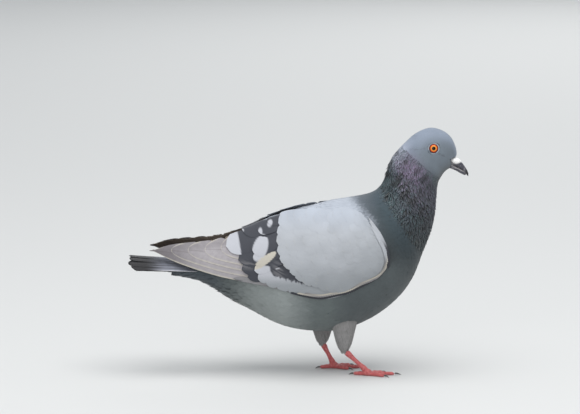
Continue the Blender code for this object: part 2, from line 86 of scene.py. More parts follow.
# The folded wing, tip to bend: x, y and z of its upper edge, y and z of its lower edge and how far
# it bulges between them.
WING_SECTIONS = {
    "near_tip": (-134, 11.6, 120.7, 13.9, 115.5, 0.3),
    "outer": (-122, 9.8, 124.3, 16.6, 109.7, 1.2),
    "hand": (-100, 8.2, 126.6, 22.2, 102.1, 3),
    "knuckle": (-74, 7, 129, 29, 95.1, 5.2),
    "tertials": (-50, 7.4, 135.5, 35.2, 90.9, 8),
    "rear": (-26, 9.6, 146.6, 40.6, 87.3, 11.4),
    "middle": (0, 13.4, 154.4, 43.6, 80.1, 15),
    "deep": (22, 17.2, 157.6, 44.2, 76.9, 17),
    "front": (42, 21.6, 157.9, 44.4, 80.7, 17),
    "arm": (60, 29, 152.5, 44, 89.1, 14),
    "wrist": (73, 37.6, 139.1, 43.4, 97.1, 8.8),
    "bend": (80.4, 41, 125.5, 42.8, 105.9, 3.6),
}

# The shut tail: where it leaves the body and where it ends, x and z, with its half widths.
TAIL_ROOT, TAIL_TIP = (-62, 103.5), (-157, 109.3)
TAIL_ROOT_HALF, TAIL_TIP_HALF = 10.5, 29
TAIL_ROOF = 7.5
# How much shorter than the longest each of the twelve tail feathers is.
TAIL_WEAR = (2.4, 0.4, 3, 0.9, 2.6, 0.2, 1.2, 2.8, 0.6, 2.2, 0.3, 1.6)

# The eye: its middle in side view, x and z, how far out it lies and the radius of the bare ring
# that the head's vanes stay off.
EYE_CENTRE, EYE_OUT, EYE_CLEAR = (124.6, 211.9), 14.35, 5.15

# Only the head is above the first height, and only the legs are below the second, ahead of an x.
HEAD_LOW, LEG_TOP, LEG_REAR = 190, 42, 10

# How the feathers grow: station, then the spacing of rows, length, width and lift of the tip.
GROWTH = {
    "covert_tips": (4.4, 19, 6.8, 0.3),
    "vent": (3.6, 16, 6.4, 0.5),
    "loin": (3.3, 14, 6, 0.14),
    "mid_back": (3, 12.5, 4.8, 0.10),
    "shoulder": (2.6, 10.5, 3.8, 0.08),
    "breast": (2.4, 9.4, 3.4, 0.08),
    "crop": (2.1, 8.2, 2.9, 0.15),
    "neck_base": (1.9, 7.2, 2.4, 0.4),
    "mid_neck": (1.75, 6.4, 2.1, 0.55),
    "nape": (1.6, 5.6, 1.9, 0.4),
    "occiput": (1.45, 4.6, 1.9, 0.06),
    "crown": (1.19, 3.6, 1.55, 0.03),
    "forehead": (0.99, 2.8, 1.25, 0.02),
    "bill_root": (0.8, 2, 0.95, 0.02),
}


def paint(red, green, blue):
    """A colour given in display values, as linear light."""
    shown = np.array((red, green, blue), float) / 255
    return np.where(shown <= 0.04045, shown / 12.92, ((shown + 0.055) / 1.055) ** 2.4)


PALETTE = {
    "crown": paint(132, 142, 157),
    "cheek": paint(111, 120, 129),
    "throat": paint(96, 101, 104),
    "nape": paint(190, 194, 210),
    "purple": paint(126, 112, 137),
    "violet": paint(90, 88, 103),
    "green": paint(50, 66, 73),
    "deep_green": paint(41, 53, 57),
    "slate": paint(70, 82, 92),
    "breast": paint(77, 84, 86),
    "high_breast": paint(51, 56, 58),
    "belly": paint(96, 104, 104),
    "hind_flank": paint(130, 136, 135),
    "hind_belly": paint(146, 152, 151),
    "vent": paint(92, 99, 99),
    "undertail": paint(62, 70, 76),
    "rump": paint(160, 165, 174),
    "mantle": paint(171, 177, 187),
    "covert": paint(166, 169, 174),
    "low_covert": paint(146, 150, 154),
    "bar": paint(54, 56, 64),
    "white": paint(180, 181, 187),
    "cream": paint(186, 180, 168),
    "secondary": paint(131, 129, 131),
    "primary": paint(158, 153, 156),
    "primary_tip": paint(106, 101, 104),
    "tail": paint(118, 120, 130),
    "tail_band": paint(34, 33, 35),
    "tail_web": paint(232, 232, 236),
    "back_edge": paint(86, 95, 104),
    "purple_gloss": paint(136, 118, 148),
    "green_gloss": paint(66, 98, 98),
    "thigh": paint(138, 136, 135),
}


def curve(rows, places):
    """Rows of numbers read smoothly at many places, where whole numbers are the rows themselves."""
    rows = np.asarray(rows, float)
    places = np.clip(np.asarray(places, float), 0, len(rows) - 1)
    first = np.minimum(places.astype(int), len(rows) - 2)
    t = (places - first)[..., None]
    a, b = rows[np.maximum(first - 1, 0)], rows[first]
    c, d = rows[first + 1], rows[np.minimum(first + 2, len(rows) - 1)]
    return b + 0.5 * t * (c - a + t * (2 * a - 5 * b + 4 * c - d + t * (3 * b - a - 3 * c + d)))


def from_back(angle):
    """The same angle, between -pi and pi from the back."""
    return (angle + math.pi) % (2 * math.pi) - math.pi


def body_at(place, angle):
    """Points on the outside of the body coat. Angle 0 is the back and pi the underside."""
    place, angle = np.broadcast_arrays(np.asarray(place, float), np.asarray(angle, float))
    rows = curve(list(BODY_SECTIONS.values()), place)
    top_x, top_z, low_x, low_z, half, widest, fullness = np.moveaxis(rows, -1, 0)
    over = np.clip(np.maximum(-place, place - LAST), 0, 1)
    keep = np.sqrt(1 - over**2)
    down = (0.5 * (1 - np.cos(angle))) ** (np.log(widest) / math.log(0.5))
    middle_x, middle_z = 0.5 * (top_x + low_x), 0.5 * (top_z + low_z)
    end_x = np.where(place < 1, BODY_REAR[0], BODY_FRONT[0])
    end_z = np.where(place < 1, BODY_REAR[1], BODY_FRONT[1])
    x = middle_x + (end_x - middle_x) * over + (top_x + (low_x - top_x) * down - middle_x) * keep
    z = middle_z + (end_z - middle_z) * over + (top_z + (low_z - top_z) * down - middle_z) * keep
    y = half * keep * np.sign(np.sin(angle)) * np.abs(np.sin(angle)) ** fullness
    return np.stack((x, y, z), -1)


def walked(line):
    """How far along a line each of its points lies."""
    steps = np.linalg.norm(np.diff(line, axis=0), axis=1)
    return np.concatenate(((0,), np.cumsum(steps)))


def flank_lengths():
    """How far along the flank each of many places is, so that the coat can be laid by distance."""
    places = np.linspace(0, LAST, 600)
    return places, walked(body_at(places, math.radians(80)))


FLANK_PLACES, FLANK_REACH = flank_lengths()


def reach_of(station):
    """The distance along the flank of a station given by name, or of a place given by number."""
    place = STATIONS.index(station) if isinstance(station, str) else station
    return np.interp(place, FLANK_PLACES, FLANK_REACH)


def place_of(reach):
    """The number of the station, with its fraction, at a distance along the flank."""
    return np.interp(reach, FLANK_REACH, FLANK_PLACES)


def body_surface(reach, angle):
    """Points on the body coat by the distance along the flank and the angle from the back."""
    return body_at(place_of(reach), angle)


def unit(vectors):
    return vectors / np.maximum(np.linalg.norm(vectors, axis=-1, keepdims=True), 1e-9)


def dot(a, b):
    return np.sum(a * b, axis=-1)


def smooth(value, low, high):
    """0 below low, 1 above high and an easy slope between, or the other way with them swapped."""
    t = np.clip((value - low) / (high - low), 0, 1)
    return t * t * (3 - 2 * t)


def bump(value, centre, spread):
    """1 at the centre, falling away to both sides."""
    return np.exp(-(((value - centre) / spread) ** 2))


def drift(a, b, grain):
    """A smooth wandering between about -1 and 1, over patches about as wide as the grain."""
    total, size = 0, 0
    for i, (turn, weight) in enumerate(((0.4, 1), (1.5, 0.9), (2.5, 0.8), (3.6, 0.6), (5.1, 0.6))):
        pace = (1 + 0.37 * i) / grain
        total = total + weight * np.sin(pace * (a * np.cos(turn) + b * np.sin(turn)) * 2.2 + 1.7 * i)
        size += 0.45 * weight
    return total / size


def blend(a, b, share):
    """From colours a to colours b by a share for each. Either may be a name in the palette."""
    a, b = (PALETTE[colour] if isinstance(colour, str) else colour for colour in (a, b))
    return a + (b - a) * np.asarray(share)[..., None]


def surface_frame(surface, u, v, step_u=0.6, step_v=0.02):
    """Point, the two slopes and the outward normal of a surface of two numbers."""
    along = (surface(u + step_u, v) - surface(u - step_u, v)) / (2 * step_u)
    around = (surface(u, v + step_v) - surface(u, v - step_v)) / (2 * step_v)
    return surface(u, v), along, around, unit(np.cross(along, around))


def steps_for(along, around, direction):
    """How far u and v go for each millimetre along a direction that lies in the surface."""
    aa, ab, bb = dot(along, along), dot(along, around), dot(around, around)
    da, db = dot(along, direction), dot(around, direction)
    size = np.maximum(aa * bb - ab * ab, 1e-6)
    return (da * bb - db * ab) / size, (db * aa - da * ab) / size


class Coat:
    """Vanes of one piece, gathered as arrays and joined as one mesh."""

    def __init__(self):
        self.points, self.quads, self.flat, self.rim = [], [], [], []
        self.colours, self.vane, self.patch = [], [], []
        self.count = 0

    def add(self, top, outward, thickness, colours, vane, patch, under_shade=0.6):
        """Adds vanes: each is a grid of points, thin at its rim and closed beneath."""
        number, long, wide = top.shape[:3]
        under = top - outward * thickness[..., None]
        index = np.arange(long * wide).reshape(long, wide)
        below = index.copy()
        inside = np.arange((long - 2) * (wide - 2)).reshape(long - 2, wide - 2)
        below[1:-1, 1:-1] = long * wide + inside
        size = long * wide + inside.size

        def quads(grid):
            corners = (grid[:-1, :-1], grid[:-1, 1:], grid[1:, 1:], grid[1:, :-1])
            return np.stack(corners, -1).reshape(-1, 4)

        upper, lower = quads(index), quads(below)[:, ::-1]
        a, b, c = top[:, :-1, :-1], top[:, :-1, 1:], top[:, 1:, :-1]
        if np.mean(dot(np.cross(b - a, c - a), outward[:, :-1, :-1])) < 0:
            upper, lower = upper[:, ::-1], lower[:, ::-1]
        faces = np.concatenate((upper, lower))
        starts = self.count + size * np.arange(number)
        self.quads.append((faces[None] + starts[:, None, None]).reshape(-1, 4))
        self.flat.append(np.tile(np.arange(len(faces)) >= len(upper), number))
        rim = np.ones((long, wide), bool)
        rim[1:-1, 1:-1] = False
        rim = np.concatenate((rim.ravel(), np.zeros(inside.size, bool)))
        self.rim.append(np.tile(rim, number))
        for store, values in (
            (self.points, (top, under)),
            (self.colours, (colours, colours * under_shade)),
            (self.vane, (vane, vane)),
            (self.patch, (patch, patch)),
        ):
            last = values[0].shape[-1]
            over = values[0].reshape(number, -1, last)
            inner = values[1][:, 1:-1, 1:-1].reshape(number, -1, last)
            store.append(np.concatenate((over, inner), axis=1).reshape(-1, last))
        self.count += size * number

    def add_long(self, spot, outward, height, thickness, colours, across, forward, share, lane,
                 under_shade=0.6):
        """Adds one long feather, with its colours kept in a lane of its own out of several."""
        across_lane = (lane[0] + 0.5 + 0.42 * edge_steps(spot.shape[1])) / lane[1]
        patch = np.stack(np.broadcast_arrays(0.02 + 0.96 * share[:, None], across_lane), -1)
        vane = np.stack(np.broadcast_arrays(across, forward), -1)
        top = spot + outward * height[..., None]
        thickness = np.broadcast_to(thickness, height.shape)
        grids = (top, outward, thickness, colours, vane, patch)
        self.add(*(grid[None] for grid in grids), under_shade)

    def build(self, name, look, slot, crisp=True):
        """The joined piece, riding on the body, its rims crisp or rolled over."""
        points, quads = np.concatenate(self.points) * MM, np.concatenate(self.quads)
        mesh = bpy.data.meshes.new(name)
        mesh.vertices.add(len(points))
        mesh.vertices.foreach_set("co", points.astype(np.float32).ravel())
        mesh.loops.add(quads.size)
        mesh.loops.foreach_set("vertex_index", quads.astype(np.int32).ravel())
        mesh.polygons.add(len(quads))
        mesh.polygons.foreach_set("loop_start", np.arange(0, quads.size, 4, dtype=np.int32))
        mesh.update(calc_edges=True)
        mesh.validate()
        mesh.polygons.foreach_set("use_smooth", ~np.concatenate(self.flat))
        ends = np.empty(2 * len(mesh.edges), np.int32)
        mesh.edges.foreach_get("vertices", ends)
        rim = np.concatenate(self.rim)[ends.reshape(-1, 2)].all(axis=1)
        mesh.edges.foreach_set("use_edge_sharp", rim & crisp)
        stain(mesh, np.concatenate(self.colours))
        for layer, values in (("vane", self.vane), ("OFBake", self.patch)):
            flat = np.concatenate(values)[quads.ravel()].astype(np.float32)
            mesh.uv_layers.new(name=layer).data.foreach_set("uv", flat.ravel())
        as_piece(mesh, name, look, slot)


def deep(values):
    """One value for each vane, to meet the points of its grid."""
    return values[:, None, None]


def tip_steps(count, crowding):
    """Steps from root to tip, closest at the tip."""
    return 1 - (1 - np.linspace(0, 1, count)) ** crowding


def edge_steps(count):
    """Steps across a vane from -1 to 1, closest at its edges."""
    return np.sin(np.linspace(-0.5 * math.pi, 0.5 * math.pi, count))


def outline(along, tip_start, pointed, root_width=0.4):
    """Half width of a vane along its length, as a share of its greatest."""
    rise = root_width + (1 - root_width) * smooth(along, 0, tip_start)
    fall = np.clip((along - tip_start) / (1 - tip_start), 0, 1)
    return rise * np.maximum(1 - fall**pointed, 0) ** 0.5


def patches(across, along, u, v, size=0.003):
    """Where each vane's colours are kept: a small square round its root's place on the skin."""
    local_u = across * 0.5 * size * np.ones_like(along)
    local_v = (along - 0.5) * size * np.ones_like(across)
    return np.stack((deep(u) + local_u, deep(v) + local_v), -1)


def lay_vanes(coat, surface, u, v, growth, colours, turn=0, tip=(0.55, 2.6), ruffle=0, long=6,
              shade=0.55, sink=1, arch=0.10, uneven=0.035, unwrap=None):
    """Lays vanes on a surface from their roots, pointing down it along u."""
    count = len(u)
    length, width, lift = growth
    point, slope_u, slope_v, normal = surface_frame(surface, u, v)
    normal = np.where(dot(normal, point - surface(u, v + np.pi))[:, None] < 0, -normal, normal)
    lie = unit(-slope_u)
    turn = (turn + random.normal(0, 0.06 + ruffle, count))[:, None]
    lie = unit(lie * np.cos(turn) + np.cross(lie, normal) * np.sin(turn))
    down_u, down_v = map(deep, steps_for(slope_u, slope_v, lie))
    over_u, over_v = map(deep, steps_for(slope_u, slope_v, np.cross(lie, normal)))
    share = tip_steps(long, 1.5)
    cross = np.linspace(-1, 1, 3)
    along = share[:, None] - 0.10 * cross**2 * share[:, None] ** 3
    along = np.broadcast_to(along, (count, long, 3))
    shape = np.maximum(outline(share, *tip), 0.16)
    half = 0.5 * width[:, None] * shape * (1 + random.normal(0, 0.05, (count, long)))
    across = half[:, :, None] * cross
    forward = along * deep(length)
    at_u = deep(u) + forward * down_u + across * over_u
    at_v = deep(v) + forward * down_v + across * over_v
    spot, _, _, outward = surface_frame(surface, at_u, at_v)
    outward = np.where(dot(outward, normal[:, None, None, :])[..., None] < 0, -outward, outward)
    arch = deep(np.broadcast_to(arch, count))
    roll = 0.5 * arch * deep(random.normal(0, 1, count))
    rise = lift * (1 + random.normal(0, 0.25 + ruffle, count))
    height = -sink * (1 - along) + deep(rise) * along**1.5 + roll * across
    height = height - arch * deep(width) * cross**2 * shape[:, None]
    thickness = 0.05 + 0.025 * deep(width) * np.ones_like(height)
    tone = 1 + random.normal(0, uneven, count)
    # painted shade: each vane darker towards its root, where the vanes lying over it shade it
    dark = shade + (1 - shade) * smooth(along, 0.25, 0.85)
    painted = deep(colours) * (deep(tone) * dark)[..., None]
    patch = patches(cross, along, *unwrap(u, v))
    coat.add(spot + outward * height[..., None], outward, thickness, painted,
             np.stack((across, forward), -1), patch)


def growth_at(reach):
    """Row spacing, vane length, width and lift at a distance along the flank."""
    at = [reach_of(name) for name in GROWTH]
    return [np.interp(reach, at, column) for column in zip(*GROWTH.values())]


def rows_between(surface, front, rear, first, last, tight=1):
    """Roots in staggered rows from front to rear, between two angles on either side of the back."""
    reach, roots, row = front, [], 0
    while reach > rear:
        pitch, _, width, _ = growth_at(reach)
        angles = np.radians(np.linspace(first, last, 90))
        round_body = walked(surface(np.full(90, reach), angles))
        count = max(int(round_body[-1] / (0.62 * width * tight)), 2)
        spots = (np.arange(count) + (0.25 if row % 2 else 0.75)) / count
        spots = spots + random.normal(0, 0.22, count) / count
        angle = np.interp(np.clip(spots, 0, 1) * round_body[-1], round_body, angles)
        jitter = random.normal(0, 0.25 * pitch, count)
        roots.append(np.stack((reach + jitter, angle), -1))
        reach -= pitch * tight
        row += 1
    return np.concatenate(roots)


TOTAL_REACH = FLANK_REACH[-1]
HEAD_START = TOTAL_REACH - 0.7  # the head's first row, a little back from the end of the body


def body_unwrap(reach, angle):
    """Where a place on the body lies on a flat map of it, slit along the belly."""
    turned = (angle + math.pi) % (2 * math.pi) / (2 * math.pi)
    return 0.01 + 0.98 * turned, 0.01 + 0.98 * np.clip(reach / TOTAL_REACH, 0, 1)


def coat_colour(reach, angle, points):
    """The markings of the head, neck, body and their skin."""
    place = place_of(reach)
    round_back = np.abs(from_back(angle))
    x, z = points[..., 0], points[..., 2]
    along_body = [-95, -70, -52, -32, -4, 24, 36, 54]
    names = ["undertail", "undertail", "vent", "hind_flank", "hind_belly", "belly", "belly", "breast"]
    shades = np.array([PALETTE[name] for name in names])
    colour = np.stack([np.interp(x, along_body, shades[:, i]) for i in range(3)], -1)
    colour = blend(colour, "high_breast", smooth(z, 106, 128) * smooth(x, 68, 88))
    border = line_at(z, (168, 54), (165, 56.8), (160, 62), (152, 70), (131, 77), (110, 84))
    dorsal = smooth(round_back, 1.15, 0.85) * smooth(x, border + 11, border - 6)
    back = blend("rump", "mantle", smooth(x, -40, 10))
    base_tone = blend("back_edge", "high_breast", smooth(x, 56, 92))
    colour = blend(colour, base_tone, smooth(round_back, 1.9, 1.2) * smooth(place, 6.6, 8.2))
    colour = blend(colour, back, dorsal)
    neck = smooth(place, 8.6, 10.2)
    base = blend("green", "deep_green", smooth(round_back, 0.9, 2.4))
    base = blend(base, "slate", 0.55 * smooth(round_back, 0.9, 0.4) * smooth(place, 11, 9.5))
    base = blend(base, "violet", 0.8 * bump(place, 13, 1.7) * smooth(round_back, 0.7, 1.2))
    purple = bump(place, 14.4, 1.1) * bump(round_back, 1.15, 0.6)
    base = blend(base, "purple", np.clip(1.2 * purple, 0, 1))
    base = blend(base, "nape", smooth(place, 12.5, 15) * smooth(round_back, 0.9, 0.3))
    colour = blend(colour, base, neck * (1 - dorsal))
    face = blend("crown", "cheek", smooth(round_back, 0.5, 1.5))
    face = blend(face, "throat", smooth(round_back, 2, 2.9))
    lore = bump(z, 209.5 - 0.75 * (x - 129.5), 0.5) * smooth(x, 128.6, 130.5) * smooth(x, 138, 136)
    lore = lore + 0.8 * bump(x, 135.6, 1) * bump(z, 205.4, 0.9)
    ear = bump(z, 212.6 + 0.04 * (x - 104), 0.6) * smooth(x, 101, 106) * smooth(x, 121, 118)
    face = face * (1 - 0.30 * np.clip(lore, 0, 1) - 0.16 * ear)[..., None]
    return blend(colour, face, smooth(place, 13.9, 16))


def placed(name, data):
    """A new object in the scene."""
    made = bpy.data.objects.new(name, data)
    bpy.context.scene.collection.objects.link(made)
    return made


def mesh_of(bm, name):
    """The mesh of a finished bmesh."""
    mesh = bpy.data.meshes.new(name)
    bm.to_mesh(mesh)
    bm.free()
    return mesh


def stain(mesh, colours):
    """Gives each point of a mesh its colour."""
    colours = np.concatenate((np.clip(colours, 0, 1), np.ones((len(colours), 1))), axis=1)
    shown = mesh.color_attributes.new("plume", "FLOAT_COLOR", "POINT")
    shown.data.foreach_set("color", colours.astype(np.float32).ravel())


def merged_solids(names, grow):
    """Copies of CAD solids in one bmesh, their loose triangles merged and each grown a little."""
    joined = bmesh.new()
    for name in names:
        solid = bmesh.new()
        solid.from_mesh(NODES[name].data)
        bmesh.ops.remove_doubles(solid, verts=solid.verts, dist=1e-6)
        solid.normal_update()
        for vert in solid.verts:
            vert.co += vert.normal * grow * MM
        mesh = mesh_of(solid, "solid")
        joined.from_mesh(mesh)
        bpy.data.meshes.remove(mesh)
    return joined


def remeshed(names, grow, voxel, rounds):
    """A closed even mesh of some solids, its steps smoothed away."""
    mesh = mesh_of(merged_solids(names, grow), "remeshed")
    piece = placed("remeshed", mesh)
    remesh = piece.modifiers.new("even", "REMESH")
    remesh.mode, remesh.voxel_size = "VOXEL", voxel * MM
    soften = piece.modifiers.new("soften", "SMOOTH")
    soften.factor, soften.iterations = 0.5, rounds
    bpy.context.view_layer.update()
    found = piece.evaluated_get(bpy.context.evaluated_depsgraph_get())
    made = bpy.data.meshes.new_from_object(found)
    bpy.data.objects.remove(piece)
    bpy.data.meshes.remove(mesh)
    made.shade_smooth()
    return made


def mesh_points(mesh):
    """A mesh's points in millimetres."""
    points = np.empty(len(mesh.vertices) * 3)
    mesh.vertices.foreach_get("co", points)
    return points.reshape(-1, 3) / MM


def as_piece(mesh, name, look, slot, *replaced):
    """A finished mesh as a piece of the model."""
    mesh.name = name
    mesh.materials.clear()
    mesh.materials.append(look)
    piece = placed(name, mesh)
    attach(piece, BODY)
    if replaced:
        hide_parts(*replaced)


def nearest_on_body(points):
    """The distance along the flank and the angle of the nearest place on the body coat."""
    angles = np.linspace(-math.pi, math.pi, 72, endpoint=False)
    reach, angle = (grid.ravel() for grid in np.meshgrid(np.linspace(0, TOTAL_REACH, 150), angles))
    spots = body_surface(reach, angle)
    tree = KDTree(len(spots))
    for i, spot in enumerate(spots):
        tree.insert(spot, i)
    tree.balance()
    found = np.array([tree.find(point)[1] for point in points])
    return reach[found], angle[found]


FLESH = ["head", "neck", "breast", "loins"] + [
    f"{part}_{side}" for part in ("thigh", "wing") for side in SIDES
]


def make_skin(mesh, look):
    """One skin for all the flesh, inside the solids by the depth of the coat."""
    points = mesh_points(mesh)
    normals = np.empty(len(points) * 3)
    mesh.vertex_normals.foreach_get("vector", normals)
    reach, angle = nearest_on_body(points)
    leg = (points[:, 2] < LEG_TOP) & (points[:, 0] > LEG_REAR)
    depth = np.where(leg, 0.7, 0.5 + 0.10 * np.asarray(growth_at(reach)[1]))
    from_eye = np.linalg.norm(points[:, [0, 2]] - np.array(EYE_CENTRE), axis=1)
    depth = depth + 1.2 * smooth(from_eye, 5, 4.2) * (points[:, 2] > HEAD_LOW)
    inset = points - normals.reshape(-1, 3) * depth[:, None]
    bare = past_face(points, 0.4) * smooth(points[:, 0], 137.5, 140)
    inset[:, 1] *= 1 - 0.5 * bare
    colour = coat_colour(reach, angle, points)
    outside = wing_cover(points) > -3
    colour[outside] = wing_markings(points[outside, 0], points[outside, 2])
    colour[leg] = PALETTE["thigh"]
    mesh.vertices.foreach_set("co", (inset * MM).ravel())
    # painted shade: the skin is kept darker than the vanes over it, less so on the head, so the gaps
    # between vanes look shaded
    stain(mesh, colour * (0.7 + 0.22 * smooth(place_of(reach), 15.5, 16.5))[:, None])
    mesh.update()
    as_piece(mesh, "skin", look, "body_plumage", *FLESH)


def outer_surface(mesh):
    """The outline of body and wings together round the back, as a surface like the body's."""
    flat = [tuple(face.vertices) for face in mesh.polygons]
    tree = BVHTree.FromPolygons([tuple(p) for p in mesh_points(mesh)], flat)
    rings, ribs, outside = 70, 97, 90
    reaches = np.linspace(reach_of("vent"), reach_of("neck_base"), rings)
    angles = np.radians(np.linspace(-120, 120, ribs))
    grid = np.empty((rings, ribs, 3))
    for i, reach in enumerate(reaches):
        ring = body_surface(np.full(ribs, reach), angles)
        centre = 0.5 * (ring[ribs // 2] + body_surface(reach, math.pi))
        for j in range(ribs):
            away = Vector(ring[j] - centre).normalized()
            hit = tree.ray_cast(Vector(centre) + away * outside, -away)[0]
            grid[i, j] = hit if hit is not None else ring[j]
    for _ in range(3):
        inner = grid[1:-1, 1:-1]
        around = grid[:-2, 1:-1] + grid[2:, 1:-1] + grid[1:-1, :-2] + grid[1:-1, 2:]
        grid[1:-1, 1:-1] = 0.5 * inner + 0.125 * around

    def cell(value, ends, count):
        """The grid's line before a value, and how far past it the value lies."""
        at = np.clip((value - ends[0]) / (ends[-1] - ends[0]), 0, 1) * (count - 1)
        line = np.minimum(at.astype(int), count - 2)
        return line, (at - line)[..., None]

    def surface(reach, angle):
        reach, angle = np.broadcast_arrays(np.asarray(reach, float), np.asarray(angle, float))
        i, s = cell(reach, reaches, rings)
        j, t = cell(from_back(angle), angles, ribs)
        near = grid[i, j] * (1 - t) + grid[i, j + 1] * t
        far = grid[i + 1, j] * (1 - t) + grid[i + 1, j + 1] * t
        return near * (1 - s) + far * s

    return surface


RIGHT_SINK = 2.5  # how much lower the right wing's upper edge lies behind its tertials
WING_ENDS = (-138, 83)  # x of the wing's tip and of its bend
WING_MAP = ((-150, 260), (70, 100))  # where its flat map starts in x and in z, and how far it goes
WING_FRONT = 78  # where the wing's surface begins to turn in towards the breast
WING_LINE = curve(list(WING_SECTIONS.values()), np.linspace(0, len(WING_SECTIONS) - 1, 900))


def wing_edges(x, side=1):
    """y and z of a wing's upper and lower edge, and its bulge. The right wing's tip lies lower."""
    edges = [np.interp(x, WING_LINE[:, 0], WING_LINE[:, i]) for i in range(1, 6)]
    edges[1] = edges[1] - RIGHT_SINK * smooth(x, -48, -96) * (np.asarray(side) < 0)
    return edges


def wing_sheet(x, z, side):
    """Points on the outside of a folded wing, for places in its side view.

    What reaches above its upper edge is folded inwards over the back, and what reaches below its
    lower edge is drawn up to it.
    """
    x, z = np.broadcast_arrays(np.asarray(x, float), np.asarray(z, float))
    top_y, top_z, low_y, low_z, bulge = wing_edges(x, side)
    over = np.maximum(z - top_z, 0)
    z = np.minimum(z, top_z)
    z = z + 0.92 * np.maximum(low_z - 0.5 - z, 0)
    chord = np.hypot(low_y - top_y, low_z - top_z)
    out_y, out_z = (top_z - low_z) / chord, (low_y - top_y) / chord
    down = (top_z - z) / (top_z - low_z)
    for _ in range(5):
        down = np.clip(down, -0.12, 1.1)
        off = bulge * 4 * down * (1 - down)
        down = (top_z + out_z * off - z) / (top_z - low_z)
    down = np.clip(down, -0.12, 1.1)
    y = top_y + (low_y - top_y) * down + out_y * off
    y = y - 0.05 * np.maximum(x - WING_FRONT, 0) ** 2 - np.minimum(over, top_y - 1)
    return np.stack((x, side * y, z + 0.1 * over), -1)


def wing_frame(x, z, side):
    """Points on the outside of a folded wing and the way out from each."""
    slope_x = wing_sheet(x + 0.5, z, side) - wing_sheet(x - 0.5, z, side)
    slope_z = wing_sheet(x, z + 0.5, side) - wing_sheet(x, z - 0.5, side)
    outward = unit(np.cross(slope_x, slope_z))
    outward = np.where((outward[..., 1] * side < 0)[..., None], -outward, outward)
    return wing_sheet(x, z, side), outward


def wing_cover(points):
    """How far inside the outside of its wing each point is, and less than nothing off the wing."""
    x, y, z = points[..., 0], np.abs(points[..., 1]), points[..., 2]
    _, top_z, _, low_z, _ = wing_edges(x, points[..., 1])
    inside = np.minimum(np.minimum(top_z - z, z - low_z), np.minimum(x - WING_ENDS[0], WING_ENDS[1] - x))
    under = wing_sheet(x, z, 1)[..., 1] - y
    return np.where(inside > 0, np.minimum(inside, under + 2), -9)


def heading(angles):
    """One step in side view along each of some angles, which rise from straight ahead."""
    return np.stack((np.cos(angles), np.sin(angles)), -1)


def line_at(value, *pairs):
    """A boundary given as pairs, read at a height."""
    pairs = sorted(pairs)
    return np.interp(value, [p[0] for p in pairs], [p[1] for p in pairs])


def oval(x, z, centre_x, centre_z, half_x, half_z, lean=0):
    """1 inside a leaning oval on the side view, falling to 0 over its soft edge."""
    rise = z - centre_z
    out = np.hypot((x - centre_x - lean * rise) / half_x, rise / half_z)
    return smooth(out, 1 + 0.5 / half_x, 1 - 0.5 / half_x)


def covert_colour(x, z):
    """Pale grey, palest near the back, with a slight wandering of tone."""
    colour = blend("low_covert", "covert", smooth(z, 86, 112))
    colour = blend(colour, "mantle", smooth(z, 132, 156))
    colour = blend(colour, "low_covert", 0.5 * smooth(x, 30, 80))
    return colour * (1 + 0.035 * drift(x, z, 11))[..., None]


def wing_markings(x, z):
    """The folded wing's markings as plain areas, for the skin beneath the feathers."""
    front = line_at(z, (148, -17), (130, -20), (116, -17), (105, -10), (94, -4), (80, 8))
    colour = covert_colour(x, z)
    colour = blend(colour, "bar", smooth(x, front + 1, front - 1))
    return blend(colour, "primary", smooth(x, -52, -56))


def lay_feathers(coat, side, roots, tips, width, colour_of, bow=0, long=12, wide=7, lift=0.1,
                 sink=0.9, base=0, roll=0.03, tip=(0.66, 2.4), shade=0.75, arch=0.02, size=0.01,
                 thick=(0.12, 0.25), root=0.4):
    """Lays feathers on the outside of a folded wing, from roots to tips in its side view."""
    roots, tips = np.asarray(roots, float), np.asarray(tips, float)
    count = len(roots)
    width, bow, base, lift = (deep(np.broadcast_to(a, count)) for a in (width, bow, base, lift))
    lie = tips - roots
    length = np.linalg.norm(lie, axis=1)
    lie_x, lie_z = map(deep, (lie / length[:, None]).T)
    share = tip_steps(long, 1.25)
    cross = edge_steps(wide)
    along = np.broadcast_to(share[:, None] * (1 - 0.012 * cross**2), (count, long, wide))
    shape = np.maximum(outline(share, *tip, root), 0.10)[:, None]
    across = 0.5 * width * shape * cross
    swing = across + bow * 4 * along * (1 - along)
    forward = along * deep(length)
    x = deep(roots[:, 0]) + lie_x * forward + lie_z * swing
    z = deep(roots[:, 1]) + lie_z * forward - lie_x * swing
    spot, outward = wing_frame(x, z, side)
    height = base - sink * (1 - along) + lift * along**1.5 - roll * across
    height = height - arch * width * cross**2 * shape
    thickness = thick[0] + thick[1] * (1 - cross**2) * (1 - 0.6 * along)
    tone = 1 + deep(random.normal(0, 0.014, count))
    # painted shade: each feather darker towards its root, under the feathers lying over it
    dark = shade + (1 - shade) * smooth(along, 0.15, 0.7)
    number = deep(np.arange(count)) + 0 * x.astype(int)
    painted = colour_of(x, z, along, np.broadcast_to(cross, x.shape), number) * (tone * dark)[..., None]
    at = ((roots[:, i] - start) / reach for i, (start, reach) in enumerate(WING_MAP))
    patch = patches(cross, along, *at, size)
    coat.add(spot + outward * height[..., None], outward, thickness, painted,
             np.stack((across, forward), -1), patch)


def spread(line, count):
    """Evenly spaced places along a smooth line through a few points."""
    fine = curve(line, np.linspace(0, len(line) - 1, 200))
    along = walked(fine)
    at = np.linspace(0, along[-1], count)
    return np.stack([np.interp(at, along, fine[:, i]) for i in range(2)], -1)


